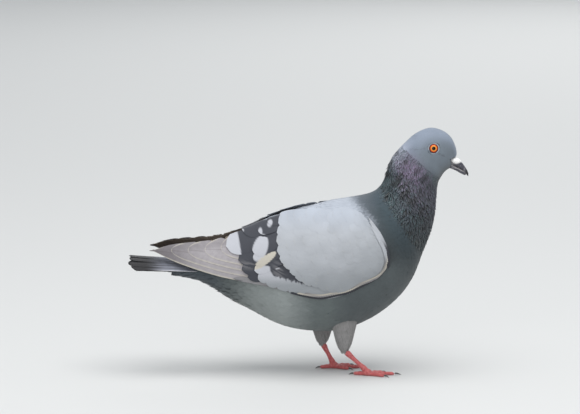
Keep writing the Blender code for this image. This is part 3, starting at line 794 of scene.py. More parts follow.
# Tips, roots and widths of the rows of wing feathers in side view, from the back down, then the
# lines that the tips of the small coverts' last and first rows follow.
TERTIAL_TIPS = [(-53, 136), (-67, 121), (-55.5, 110), (-52.5, 101.5), (-47, 95)]
TERTIAL_ROOTS = [(-4, 147), (-8, 139), (-4, 128), (0, 118), (4, 108)]
TERTIAL_WIDTHS = [17, 20, 17, 15, 13]
SECONDARY_TIPS = [(-61, 93.6), (-53, 91.4), (-43, 89.3), (-33, 87)]
SECONDARY_ROOTS = [(2, 92), (8, 88), (14, 86), (22, 83)]
GREATER_TIPS = [(-29, 143.5), (-38.2, 136.5), (-43.6, 121), (-41.9, 110), (-40.5, 101.5),
                (-37.3, 93.8), (-29.5, 89.5), (-19.5, 86), (-9, 83), (1.5, 80.6),
                (12, 79.3), (22.5, 79.3)]
GREATER_WIDTHS = [9, 11, 18, 14, 10, 12, 12, 12, 12, 12, 11, 11]
MEDIAN_LINE = [(-17, 150), (-19.5, 138), (-20.8, 126), (-17.5, 114.5), (-10, 103),
               (0, 94.5), (14, 89), (30, 86), (40, 84.5)]
FRONT_LINE = [(48, 155.5), (57, 150.5), (64.5, 142), (70, 131), (73, 119),
              (72, 108), (68, 99), (62, 93), (56, 89.5)]
# The line that the narrow feathers of the wing's front edge grow from, round to its underside.
MARGIN_LINE = [(63.5, 150.6), (69.5, 143), (74.5, 134.5), (78.4, 127), (80.6, 121), (82, 114),
               (81, 106), (77.5, 99.5), (71, 94.5), (60, 89.6), (48, 84), (36, 80.6),
               (22, 77.8), (8, 78.9), (-4, 81.4)]


def over_back(x, z):
    """Where the topmost wing feathers lie over the back, which is as pale as the mantle."""
    top_z = wing_edges(x)[1]
    return smooth(x, -34, -28) * smooth(z, top_z - 1, top_z + 1.5)


# The folded wing's front edge, height and x.
WING_EDGE = ((156, 58), (146.4, 66), (136, 73), (125.7, 79), (116, 82), (108, 81.8),
             (100, 78.5), (94, 73), (88, 62), (82, 50), (78, 38))


# Each of the next colourings takes places in side view, shares along and across the feather, and
# the feather's number in its row, and uses those that its markings need.


def tertial_colour(x, z, along, cross, number):
    """Near black, with a white end to the second and brown streaks low down."""
    edge = line_at(z, (134, -57), (129, -55.5), (120, -53.5), (112, -52.3), (106, -51.5))
    white = smooth(x, edge + 0.5, edge - 0.5) * (number == 1)
    white = np.maximum(white, oval(x, z, -52, 134.3, 1.6, 1.4) * (number == 0))
    streaks = smooth(drift(2.2 * z + 0.5 * x, 0.3 * x, 3.5), -0.3, 0.6)
    brown = (number >= 2) * smooth(x, -33, -42) * bump(z, 106, 3.5) * streaks
    colour = blend("bar", "secondary", 0.5 * brown)
    colour = blend(colour, "mantle", over_back(x, z))
    return blend(colour + np.zeros_like(x)[..., None], "white", white)


def secondary_colour(x, z, along, cross, number):
    """Brown with a dark lower web and a pale hair line at the edge."""
    colour = blend("secondary", "bar", 0.75 * smooth(cross, -0.2, -0.8))
    colour = blend(colour, "cream", 0.5 * smooth(cross, -0.93, -1))
    return colour + np.zeros_like(x)[..., None]


def greater_colour(x, z, along, cross, number):
    """The front bar, the pale ends of the feathers behind it and their flecks."""
    rear = line_at(z, (140, -60), (128, -60), (121, -60), (112, -60), (106, -26.5), (102, -26), (98, -23.5),
                   (93, -18), (88.5, -13), (84, -5), (80, 8))
    pale = smooth(x, rear + 0.7, rear - 0.7) * smooth(z, 107.5, 105.5)
    bottom = 94.6 - 0.22 * (x + 12) + 0.8 * drift(2 * x, z, 3)
    pale = np.maximum(pale, smooth(z, bottom + 0.7, bottom - 0.7))
    white = oval(x, z, -35.2, 121.4, 6.8, 11.6, 0.25)
    white = np.maximum(white, oval(x, z, -35.2, 134, 2, 3.8, 0.1))
    white = np.maximum(white, oval(x, z, -26.3, 142, 2.3, 2.8, 0.3))
    cream = oval(x + 0.8 * (z - 111), z - 0.8 * (x + 31), -31, 111, 16.5, 4.4)
    fleck = oval(x, z, -19.4, 104.4, 1.8, 0.9, 1)
    low = blend("white", "low_covert", smooth(z, 99, 88))
    colour = blend("bar", low, np.clip(pale, 0, 1))
    colour = blend(colour, "white", np.maximum(white * smooth(z, 107.5, 109), fleck))
    colour = blend(colour, "cream", cream)
    brown = 0.5 * bump(x, -19, 6) * bump(z, 101, 9) * (1 - np.clip(pale + cream, 0, 1))
    colour = blend(colour, "secondary", brown * smooth(drift(2 * z + x, 0.3 * x, 3.5), -0.3, 0.6))
    colour = blend(colour, "mantle", over_back(x, z))
    return blend(colour, covert_colour(x, z), smooth(number, 9.5, 10.5))


def small_colour(x, z, along, cross, number):
    """The coverts' grey, with a faint cream rim on one feather in three."""
    colour = covert_colour(x, z)
    rim = smooth(np.maximum(np.abs(cross), along), 0.90, 1)
    return blend(colour, "cream", 0.12 * rim * (number % 3 == 0))


def margin_colour(x, z, along, cross, number):
    """Worn cream and brown, near black along the lowest row, and pale up the wing's front."""
    cream = blend("cream", "secondary", 0.5 + 0.5 * np.sin(2 * number + 1.1))
    cream = blend(cream + np.zeros_like(x)[..., None], PALETTE["covert"] * 1.05, smooth(z, 108, 120))
    return blend(cream, PALETTE["bar"] * 0.7, smooth(number % 3, 0.9, 0.1) * smooth(z, 132, 122))


def lay_margin(coat, side):
    """The rows of narrow feathers that close the wing's front edge."""
    count = 68
    path = spread(MARGIN_LINE, count)
    lie = unit(np.gradient(path, axis=0))
    inward = lie[:, ::-1] * (1, -1)
    for row, above in enumerate((0, 1.3, 2.5)):
        part = slice(2 * row, count - 2 - 3 * row)
        roots = (path + inward * above)[part]
        tips = roots + 8 * lie[part]

        def colour_of(x, z, along, cross, number, row=row):
            return margin_colour(x, z, along, cross, 3 * number + row)

        lay_feathers(coat, side, roots, tips, 2.3, colour_of, long=8, wide=5, sink=0.25,
                     base=1.15 - 0.15 * row, size=0.004, shade=0.95, thick=(0.06, 0.12))


def make_wing_coat(word, looks):
    """Coverts, bars and secondaries of one folded wing."""
    side = SIDES[word]
    rear, front = Coat(), Coat()
    lay_feathers(rear, side, SECONDARY_ROOTS, SECONDARY_TIPS, 6.5, secondary_colour, bow=-1,
                 long=24, wide=9, sink=0.8, base=[-0.15, -0.05, 0.05, 0.15], size=0.02,
                 tip=(0.6, 1.5))
    lay_feathers(rear, side, TERTIAL_ROOTS, TERTIAL_TIPS, TERTIAL_WIDTHS, tertial_colour,
                 long=64, wide=17, sink=0.7, base=[0.65, 0.55, 0.45, 0.35, 0.25],
                 size=0.02, tip=(0.78, 2.2), shade=1)
    tips = np.array(GREATER_TIPS)
    fall = np.radians(np.interp(np.arange(len(tips)), [0, 4, 8, 11], [12, 20, 26, 14]))
    roots = tips + 33 * heading(fall)
    lay_feathers(rear, side, roots, tips, GREATER_WIDTHS, greater_colour, long=52, wide=17,
                 base=np.linspace(1, 0.6, len(tips)), size=0.02, tip=(0.8, 2.2), shade=1)
    rows = 11
    for row in range(rows, -1, -1):
        share = row / rows
        line = np.array(MEDIAN_LINE) * (1 - share) + np.array(FRONT_LINE) * share
        width = 12.5 - 6 * share
        length = 25 - 11 * share
        total = np.sum(np.linalg.norm(np.diff(line, axis=0), axis=1))
        count = int(total / (0.55 * width))
        tips = spread(line, count)
        at = np.linspace(0, 1, count)
        if row % 2:
            tips = 0.5 * (tips[:-1] + tips[1:])
            at = 0.5 * (at[:-1] + at[1:])
            count -= 1
        tips = tips + random.normal(0, 0.8, tips.shape) * (0.45 if row == 0 else 1)
        fall = np.radians(np.interp(at, [0, 0.3, 0.7, 1], [2, 12, 30, 16]))
        fall = fall + random.normal(0, 0.10, count)
        roots = tips + length * heading(fall)
        widths = width * (1.08 + random.normal(0, 0.07, count))
        limit = line_at(roots[:, 1], *WING_EDGE)
        front_row = roots[:, 0] > limit - 0.5
        roots[:, 0] = np.minimum(roots[:, 0], limit - 0.5)
        stray = 0.03 + 0.05 * (random.random(count) < 0.08)
        lay_feathers(front, side, roots, tips, widths, small_colour, long=14, wide=9,
                     lift=stray, sink=0.35, base=1 - 0.7 * share + random.normal(0, 0.03, count),
                     shade=0.99, size=0.008, roll=0.010, arch=0.008, thick=(0.04, 0.10),
                     root=0.95 if np.mean(front_row) > 0.4 else 0.5)
    lay_margin(front, side)
    rear.build(f"bars_{word}", looks["coverts"], "covert_plumage")
    front.build(f"coverts_{word}", looks["coverts"], "covert_plumage")


# How far back the feathers of the hand reach, the longest first.
PRIMARY_TIP_X = [-138.3, -118, -102.5, -86.8, -72, -60, -49]


def make_primaries(word, looks):
    """The flight feathers of the hand, nested so that each shows its lower edge."""
    side, coat = SIDES[word], Coat()
    share, cross = tip_steps(48, 1.6), edge_steps(11)
    for i, tip_x in enumerate(PRIMARY_TIP_X):
        root_x = -18 + 1.5 * i
        x = (root_x + (tip_x - root_x) * share)[:, None] + 0 * cross
        _, top_z, _, low_z, _ = wing_edges(x, side)
        low = low_z + 4.9 * i - 0.3
        high = np.minimum(top_z - 0.1, low + 19)
        rounded = 13 if i else 30
        closing = np.clip((tip_x + rounded - x) / rounded, 0, 1) ** 2.2
        shape = np.sqrt(np.maximum(1 - closing, 0.004))
        middle = low + (high - low) * (0.5 - 0.05 * closing)
        across = 0.5 * (high - low) * shape * cross
        z = middle + across
        spot, outward = wing_frame(x, z, side)
        height = -0.75 + 0.09 * i - 0.02 * (z - middle) - 1.2 * smooth(x, -58, -38)
        thickness = 0.18 + 0.30 * (1 - cross**2) * (1 - 0.5 * share[:, None])
        rim = smooth(np.abs(cross), 0.86, 0.97)
        edge = np.maximum(rim * smooth(cross, 0.2, -0.2), rim * smooth(x, tip_x + 14, tip_x + 8))
        edge = np.maximum(edge, smooth(x, tip_x + 0.9, tip_x + 0.3))
        colour = blend("primary", "primary_tip", smooth(x, -80, -132))
        # painted shade: each feather darker towards its upper edge, where the next feather lies over it
        colour = blend(colour, "primary_tip", 0.4 * smooth(cross, -0.2, 0.6))
        colour = blend(colour, "cream", edge * (0.75 if i else 0.95))
        coat.add_long(spot, outward, height, thickness, colour, across, -(x - root_x),
                      share, (i, len(PRIMARY_TIP_X)), 0.8)
    coat.build(f"primaries_vanes_{word}", looks["flight"], "flight_feathers")


def tail_sheet(across, x):
    """Points on the top of the shut tail, for shares of its half width and distances along it."""
    along = (x - TAIL_ROOT[0]) / (TAIL_TIP[0] - TAIL_ROOT[0])
    half = TAIL_ROOT_HALF + (TAIL_TIP_HALF - TAIL_ROOT_HALF) * along
    z = TAIL_ROOT[1] + (TAIL_TIP[1] - TAIL_ROOT[1]) * along - TAIL_ROOF * across**2
    return np.stack(np.broadcast_arrays(x, half * across, z), -1)


def make_tail(looks):
    """Twelve tail feathers, the middle pair on top, with worn dark ends."""
    coat = Coat()
    share, cross = tip_steps(56, 1.6), edge_steps(11)
    rib, root_x = np.arange(len(cross)), -60
    half = TAIL_ROOT_HALF + (TAIL_TIP_HALF - TAIL_ROOT_HALF) * share[:, None]
    closing = (np.clip((share - 0.93) / 0.07, 0, 1) ** 2.2)[:, None]
    shape = np.sqrt(np.maximum(1 - closing, 0.04)) * (0.45 + 0.55 * smooth(share, 0, 0.35))[:, None]
    for i, worn in enumerate(TAIL_WEAR):
        from_middle = i - 0.5 * (len(TAIL_WEAR) - 1)
        middle, rank = from_middle / 6, abs(from_middle) - 0.5
        side = 1 if middle > 0 else -1
        tip_x = TAIL_TIP[0] + worn
        ragged = np.sin(3.1 * rib + 2 * i)
        x = root_x + (tip_x - root_x) * share[:, None] + ragged * smooth(share, 0.93, 1)[:, None]
        across = np.where(cross * side > 0, 4.6, 9.5) * cross * shape
        spot = tail_sheet(np.clip(middle * 0.93 + across / half, -1.02, 1.02), x)
        height = 0.1 - 0.10 * rank - 0.09 * np.maximum(-across * side, 0)
        height = height + (0.5 * math.sin(2.7 * i)) * smooth(share, 0.75, 1)[:, None]
        outward = np.broadcast_to(np.array((0, 0, 1)), spot.shape)
        streak = 5 * np.sin(2.4 * rib + 1.3 * i)
        colour = blend("tail", "tail_band", smooth(x + streak, -122, -139))
        # painted shade along the lines between the feathers: each feather's edges drawn halfway to the
        # band's near black
        colour = blend(colour, "tail_band", 0.5 * smooth(np.abs(cross), 0.75, 1))
        if rank > 4.5:
            web = smooth(cross * side, 0.68, 0.9) * smooth(x, -138, -116)
            colour = blend(colour, "tail_web", web)
        coat.add_long(spot, outward, height, 0.16 + 0.24 * (1 - cross**2), colour, across,
                      -(x - root_x), share, (i, len(TAIL_WEAR)))
    coat.build("tail_vanes", looks["flight"], "tail_feathers")


def near_eye(points, tips):
    """Whether the line from each root to its tip passes over an eye and its bare ring."""
    centre = np.array(EYE_CENTRE)
    a, b = points[:, [0, 2]], tips[:, [0, 2]]
    line = b - a
    t = np.clip(dot(centre - a, line) / np.maximum(dot(line, line), 1e-6), 0, 1)
    return np.linalg.norm(a + line * t[:, None] - centre, axis=1) < EYE_CLEAR


# Where the face's feathers end round the bill, height in side view and x.
FACE_EDGE = ((206, 148), (203, 146.8), (202.1, 145.4), (200.5, 142.2), (199.3, 140.2), (196.4, 140.4),
             (193.6, 141.4), (192, 139.4), (190, 138.6))


def past_face(points, margin=0):
    """Whether points lie in front of the feathers' edge round the bill and cere."""
    side_view = points[:, 2] - 0.158 * np.abs(points[:, 1])
    return (points[:, 0] > line_at(side_view, *FACE_EDGE) - margin) & (side_view < 203.3)


# The body's tracts, front and rear ends, and the shape, shading and sunken roots of their vanes.
TRACTS = {
    "head": ("bill_root", "occiput", "head_plumage",
             {"tip": (0.55, 2), "shade": 0.98, "arch": 0.02, "uneven": 0.012}, 0.03),
    "neck": ("occiput", "crop", "neck_plumage",
             {"tip": (0.45, 1.5), "uneven": 0.08, "ruffle": 0.10}, 0.12),
    "breast": ("crop", "mid_back", "breast_plumage",
               {"tip": (0.6, 2.4), "shade": 0.97, "arch": 0.02, "uneven": 0.02, "ruffle": 0.03}, 0.03),
    "belly": ("mid_back", "covert_tips", "body_plumage",
              {"tip": (0.6, 2.4), "shade": 0.96, "arch": 0.02, "uneven": 0.02, "ruffle": 0.05}, 0.03),
}


# The thigh: its top and the ankle in side view, how far out it lies, and how far back the left one
# stands. Then its share of the way down, half length and half width.
THIGH_TOP, ANKLE, HIP_SIDE, STRIDE = (42, 66.5), (42, 24), 20, 20
THIGH_SECTIONS = ((0.10, 13, 9), (0.35, 12.5, 9), (0.60, 10, 7.6), (0.82, 7.4, 5.8),
                  (0.95, 5.4, 4.4), (1.04, 2.6, 2.6))


def thigh_surface(side, back):
    """The outside of a thigh, by distance up from the ankle and angle round it."""
    shares = [row[0] for row in THIGH_SECTIONS]

    def surface(up, angle):
        up, angle = np.broadcast_arrays(np.asarray(up, float), np.asarray(angle, float))
        down = 1.04 - up / (THIGH_TOP[1] - ANKLE[1])
        half_length = np.interp(down, shares, [row[1] for row in THIGH_SECTIONS])
        half_width = np.interp(down, shares, [row[2] for row in THIGH_SECTIONS])
        x = THIGH_TOP[0] + (ANKLE[0] - THIGH_TOP[0]) * down - back + half_length * np.cos(angle)
        y = side * (HIP_SIDE + half_width * np.sin(angle))
        return np.stack((x, y, THIGH_TOP[1] + (ANKLE[1] - THIGH_TOP[1]) * down), -1)

    return surface


def make_thigh_coat(word, looks):
    """Soft vanes running down the lower thigh to the ankle."""
    surface = thigh_surface(SIDES[word], STRIDE if word == "left" else 0)
    up, angle = [], []
    for row, height in enumerate(np.arange(34, 1.2, -1.9)):
        count = int(14 + 0.5 * height)
        up.append(np.full(count, height) + random.normal(0, 0.4, count))
        angle.append((np.arange(count) + 0.5 * (row % 2)) / count * 2 * math.pi)
    up, angle = np.concatenate(up), np.concatenate(angle)
    length = 5 + 0.14 * up
    growth = (np.minimum(length, up + 2), 2.6 + 0.04 * up, 0.1 + 0.4 * smooth(up, 26, 18))
    colours = np.broadcast_to(PALETTE["thigh"], (len(up), 3))
    coat = Coat()
    lay_vanes(coat, surface, up, angle, growth, colours, tip=(0.5, 1.8), shade=0.7, sink=0.7,
              unwrap=lambda u, v: (0.02 + 0.95 * (v / (2 * math.pi)) % 1, 0.02 + 0.03 * u))
    coat.build(f"coat_thigh_{word}", looks["plumage"], "thigh_plumage")


def make_body_coat(looks, outer):
    """The vanes of head, neck, breast, belly and rump, and the mantle over the wings' upper edges."""
    for tract, (front, rear, slot, manner, sunk) in TRACTS.items():
        start, tight = (HEAD_START, 0.86) if tract == "head" else (reach_of(front), 1)
        roots = rows_between(body_surface, start, reach_of(rear), -180, 180, tight)
        reach, angle = np.minimum(roots[:, 0], HEAD_START), roots[:, 1]
        points = body_surface(reach, angle)
        _, length, width, lift = growth_at(reach)
        tips = body_surface(reach - length, angle)
        hidden = (wing_cover(points) > 1) & (wing_cover(tips) > 1)
        beside = near_eye(points, tips) & (points[:, 2] > HEAD_LOW)
        hidden |= beside & near_eye(points, body_surface(reach - 0.5 * length, angle))
        length = np.where(beside, 0.5 * length, length)
        keep = ~(hidden | past_face(points))
        grown = (reach, angle, points, length, width, lift)
        reach, angle, points, length, width, lift = (values[keep] for values in grown)
        colours = coat_colour(reach, angle, points)
        round_back = np.abs(angle)
        place = place_of(reach)
        speckle = random.normal(0, 1, len(reach))
        turn = 0
        if tract == "neck":
            around = points[:, 1] + 40 * angle / math.pi
            wander = drift(reach, around, 7)
            loose = smooth(round_back, 2.7, 2) * smooth(place, 15.2, 14.2)
            x, z = points[:, 0], points[:, 2]
            slits = drift(x - 0.8 * z, (z + 0.8 * x) / 3.2, 4.6)
            lift = lift * (1 + 0.9 * loose * np.clip(wander, -0.8, 1) + 0.7 * loose * slits)
            ends = smooth(place, 15.1, 13.2) * smooth(place, 9.4, 11)
            lift = lift * (0.15 + 0.85 * ends)
            manner = {**manner, "shade": deep(0.92 - 0.75 * ends), "arch": 0.03 + 0.11 * ends}
            turn = np.sign(angle) * loose * (0.30 + 0.22 * drift(around, reach, 9))
            gloss = bump(place, 14, 1.5) * bump(round_back, 1.3, 0.8)
            colours = blend(colours, "purple_gloss", np.clip(0.5 * gloss * speckle, 0, 0.6))
            colours = blend(colours, "green_gloss", np.clip(-0.22 * speckle, 0, 0.35))
            colours = colours * (1 + 0.14 * loose * wander)[:, None]
            shadow = smooth(round_back, 1.3, 1.9) * smooth(place, 13.5, 12.5)
            colours = colours * (1 - 0.16 * shadow)[:, None]
            # painted shade in the slanting slits between the lifted clumps of feathers
            colours = colours * (1 - 0.62 * loose * smooth(slits, 0.25, 0.7))[:, None]
        elif tract == "belly":
            lift = lift * (1 + 0.6 * drift(reach, 40 * angle, 16) * smooth(place, 5, 3))
            under = smooth(round_back, 1.5, 2.4)
            x = points[:, 0]
            lift = lift + under * (1.3 * bump(x, -100, 14) + 1.5 * bump(x, -54, 12))
        else:
            colours = colours * (1 + 0.03 * drift(reach, 14 * angle, 6))[:, None]
        coat = Coat()
        lay_vanes(coat, body_surface, reach, angle, (length, width, lift), colours, turn=turn,
                  sink=deep(sunk * length), unwrap=body_unwrap, **manner)
        look = looks["neck" if tract == "neck" else "plumage"]
        coat.build(f"coat_{tract}", look, slot, crisp=tract != "neck")
    roots = rows_between(outer, reach_of("breast") - 3, reach_of("rump") + 16, -62, 62, 1.25)
    reach, angle = roots.T
    points = outer(reach, angle)
    _, length, width, lift = growth_at(reach)
    coat = Coat()
    colours = coat_colour(reach, np.zeros_like(angle), points)
    lay_vanes(coat, outer, reach, angle, (1.2 * length, 1.9 * width, 0.3 * lift), colours,
              tip=(0.62, 2.8), shade=0.98, sink=0.45, arch=0.008, uneven=0.012, unwrap=body_unwrap)
    coat.build("coat_mantle", looks["coverts"], "body_plumage")


class Signal:
    """A socket of a finish, on which arithmetic adds Math nodes."""

    def __init__(self, look, socket):
        self.look, self.socket = look, socket

    def math(self, operation, *values):
        return self.look.node("Math", {"operation": operation}, dict(enumerate(values)))

    def __add__(self, other):
        return self.math("ADD", self, other)

    def __radd__(self, other):
        return self.math("ADD", other, self)

    def __sub__(self, other):
        return self.math("SUBTRACT", self, other)

    def __rsub__(self, other):
        return self.math("SUBTRACT", other, self)

    def __mul__(self, other):
        return self.math("MULTIPLY", self, other)

    def __rmul__(self, other):
        return self.math("MULTIPLY", other, self)

    def __pow__(self, other):
        return self.math("POWER", self, other)

    def slope(self, low, high, start=0, end=1):
        """start below low, end above high and an easy slope between."""
        values = {0: self, 1: low, 2: high, 3: start, 4: end}
        return self.look.node("MapRange", {"interpolation_type": "SMOOTHSTEP"}, values)


class Look:
    """A finish on a Principled shader, whose even values are given by name."""

    def __init__(self, name, **even):
        self.material = bpy.data.materials.new(name)
        self.material.use_nodes = True
        self.tree = self.material.node_tree
        self.shader = next(n for n in self.tree.nodes if n.type == "BSDF_PRINCIPLED")
        for name, value in even.items():
            socket = name.replace("_", " ").title().replace("Ior", "IOR")
            self.shader.inputs[socket].default_value = value

    def node(self, kind, settings=None, inputs=None, out=0):
        """Adds a shader node: its settings, then what goes into its sockets."""
        made = self.tree.nodes.new("ShaderNode" + kind)
        for name, value in (settings or {}).items():
            if name == "stops":
                while len(made.color_ramp.elements) < len(value):
                    made.color_ramp.elements.new(1)
                for stop, (place, colour) in zip(made.color_ramp.elements, value):
                    stop.position, stop.color = place, (*colour, 1)
            else:
                setattr(made, name, value)
        for socket, value in (inputs or {}).items():
            if isinstance(value, Signal):
                self.tree.links.new(value.socket, made.inputs[socket])
            else:
                made.inputs[socket].default_value = value
        return Signal(self, made.outputs[out])

    def place(self):
        """Object coordinates, one unit to a millimetre."""
        return self.scaled(self.node("TexCoord", out="Object"), 1 / MM)

    def scaled(self, vector, by):
        """A vector or a colour made larger or brighter."""
        return self.node("VectorMath", {"operation": "SCALE"}, {0: vector, "Scale": by})

    def parts(self, vector):
        """The three numbers of a vector."""
        split = self.node("SeparateXYZ", None, {0: vector}).socket.node
        return [Signal(self, socket) for socket in split.outputs]

    def vane(self):
        """A vane's own colour, and how far across and along it a place is."""
        shown = self.node("Attribute", {"attribute_name": "plume"})
        across, along, _ = self.parts(self.node("UVMap", {"uv_map": "vane"}))
        return shown, across.math("ABSOLUTE", across), along

    def barbs(self, at):
        """Fine lines that slant out from the shaft."""
        return self.node("TexNoise", {"noise_dimensions": "1D"}, {"W": at, "Scale": 1, "Detail": 2})

    def noise(self, vector, scale, detail=3, roughness=0.5):
        """An even mottling, with its scale in turns to a millimetre."""
        values = {"Vector": vector, "Scale": scale, "Detail": detail, "Roughness": roughness}
        return self.node("TexNoise", None, values)

    def mix(self, share, a, b, kind="MIX"):
        """Colours mixed by a share."""
        a, b = [(*c, 1) if isinstance(c, (tuple, np.ndarray)) else c for c in (a, b)]
        settings = {"data_type": "RGBA", "blend_type": kind}
        return self.node("Mix", settings, {0: share, 6: a, 7: b}, out=2)

    def feed(self, **sockets):
        """Joins signals to the finish by the names of its sockets."""
        for name, value in sockets.items():
            self.tree.links.new(value.socket, self.shader.inputs[name.replace("_", " ")])

    def relief(self, height, depth):
        """Bump, with the depth of its relief in millimetres."""
        values = {"Strength": 1, "Distance": depth * MM, "Height": height}
        self.feed(Normal=self.node("Bump", None, values))

    def done(self, colour, height, depth):
        """The finish, with its base colour and its relief."""
        self.feed(Base_Color=colour)
        self.relief(height, depth)
        return self


def plumage_look(name, barb=0.55, depth=0.05, streak=0.10, **even):
    """Feather vanes: their own colour, with fine barbs slanting out from the shaft."""
    look = Look(name, **even)
    shown, across, along = look.vane()
    slant = along - across * 0.9
    grain = look.noise(look.place(), 0.9, 3)
    barbs = look.barbs(slant * (1 / barb) + grain * 1.5)
    tone = barbs.slope(0.3, 0.7, 1 - streak, 1 + streak * 0.6)
    return look.done(look.scaled(shown, tone), barbs, depth)


def flight_look():
    """Stiff flight feathers, with a raised shaft and close barbs."""
    look = Look("flight_feather", roughness=0.6, specular_ior_level=0.3, sheen_weight=0.04)
    shown, across, along = look.vane()
    shaft = across.slope(0.55, 0.30)
    slant = along - across * 0.8
    broad = look.noise(look.place(), 0.25, 3)
    barbs = look.barbs(slant * 2.2 + broad)
    tone = barbs.slope(0.3, 0.7, 0.90, 1.06) * broad.slope(0.3, 0.7, 0.93, 1.05)
    web = look.scaled(shown, tone)
    return look.done(look.mix(shaft * 0.18, web, paint(70, 62, 58)), barbs + shaft * 1.5, 0.05)


def skin_look():
    """The down between the feathers, in the colours of the vanes above it, which the skin holds darkened as
    painted shade.
    """
    look = Look("down_and_skin", roughness=0.9)
    shown = look.node("Attribute", {"attribute_name": "plume"})
    down = look.noise(look.place(), 1.1, 5, 0.7)
    return look.done(look.scaled(shown, down.slope(0.2, 0.8, 0.7, 1.1)), down, 0.25)


def core_look(name, dark, pale, crack):
    """The hidden inner webs of the flight feathers, paler towards the body."""
    look = Look(name, roughness=0.7)
    where = look.place()
    x = look.parts(where)[0]
    along = look.node("VectorMath", {"operation": "MULTIPLY"}, {0: where, 1: (0.08, 1, 0.9)})
    streaks = look.noise(along, 1)
    base = look.mix(x.slope(-125, -70), dark, pale)
    return look.done(look.mix(streaks.slope(0.35, 0.65, 0, 0.5), base, crack), streaks, 0.12)


def bill_look():
    """Dark horn, worn pale at its base and in patches, darkest at the tip, with a pale line along the mouth
    that is partly the horn's edge and partly a painted highlight.
    """
    look = Look("bill_horn", roughness=0.38)
    where = look.place()
    x, _, z = look.parts(where)
    worn = look.noise(where, 0.42, 3, 0.55)
    mouth = z + (x - 139) * 0.55 - 195.9
    # pale line along the mouth: partly the horn's pale edge, partly a painted highlight
    line = mouth.math("ABSOLUTE", mouth + worn * 0.6 - 0.3).slope(0.75, 0.15) * x.slope(155, 152)
    patchy = worn.slope(0.48, 0.62) * x.slope(156, 152.5) * 0.6
    base = x.slope(145.5, 141) * mouth.slope(-1.6, 0.4) * 0.75
    horn = look.mix(look.noise(where, 1.6, 4).slope(0.3, 0.7), paint(46, 46, 54), paint(78, 78, 88))
    horn = look.mix(x.slope(152.5, 156), horn, paint(30, 29, 33))
    horn = look.mix(patchy, horn, paint(150, 146, 152))
    horn = look.mix(base, horn, paint(150, 148, 152))
    return look.done(look.mix(line * 0.8, horn, paint(190, 186, 186)), look.noise(where, 2.4, 4), 0.05)


def grained_look(name, roughness, grain, dark, pale, depth, steep=0.2):
    """Two close colours that follow the grain of the surface, with its relief."""
    look = Look(name, roughness=roughness)
    noise = look.noise(look.place(), *grain)
    return look.done(look.mix(noise.slope(0.5 - steep, 0.5 + steep), dark, pale), noise, depth)


def eye_look():
    """Rings of the iris round a black pupil, beneath a wet surface."""
    look = Look("eye_iris", roughness=0.25, specular_ior_level=0.05, coat_weight=0.55, coat_roughness=0.03,
                coat_ior=1.34)
    x, _, z = look.parts(look.place())
    dx, dz = x - EYE_CENTRE[0], z - EYE_CENTRE[1]
    out = (dx * dx + dz * dz) ** 0.5
    turn = dx.math("ARCTAN2", dx, dz)
    round_pupil = look.node("CombineXYZ", None, {0: turn * 5, 1: out * 0.6})
    rays = look.node("TexNoise", {"noise_dimensions": "2D"},
                     {"Vector": round_pupil, "Scale": 1.6, "Detail": 3})
    ring = out + (rays - 0.5) * out.slope(1.6, 2.6, 0.12, 0.6)
    stops = [
        (0, paint(3, 3, 4)), (0.405, paint(3, 3, 4)), (0.43, paint(206, 146, 70)),
        (0.56, paint(236, 150, 60)), (0.70, paint(222, 96, 34)), (0.82, paint(172, 54, 24)),
        (0.91, paint(96, 24, 14)), (0.97, paint(12, 9, 9)),
    ]
    look.feed(Base_Color=look.node("ValToRGB", {"stops": stops}, {0: ring * (1 / 4.1)}))
    return look


def rim_look():
    """The wet dark margin of the lids."""
    look = Look("lid_margin", roughness=0.35)
    grain = look.noise(look.place(), 3, 2)
    look.feed(Base_Color=look.mix(grain, paint(14, 12, 12), paint(36, 30, 30)))
    return look


def foot_look():
    """Red scaly skin with pale lines between the scales."""
    look = Look("foot_skin", roughness=0.5, subsurface_weight=0.08, subsurface_scale=0.001)
    where = look.place()
    cells = look.node("TexVoronoi", {"feature": "DISTANCE_TO_EDGE"}, {"Vector": where, "Scale": 1.15})
    tone = look.noise(where, 0.5, 3)
    red = look.mix(tone.slope(0.3, 0.7), paint(182, 66, 72), paint(212, 98, 100))
    scales = look.mix(cells.slope(0.10, 0, 0, 0.7), red, paint(224, 168, 160))
    return look.done(scales, cells.slope(0, 0.2), 0.18)


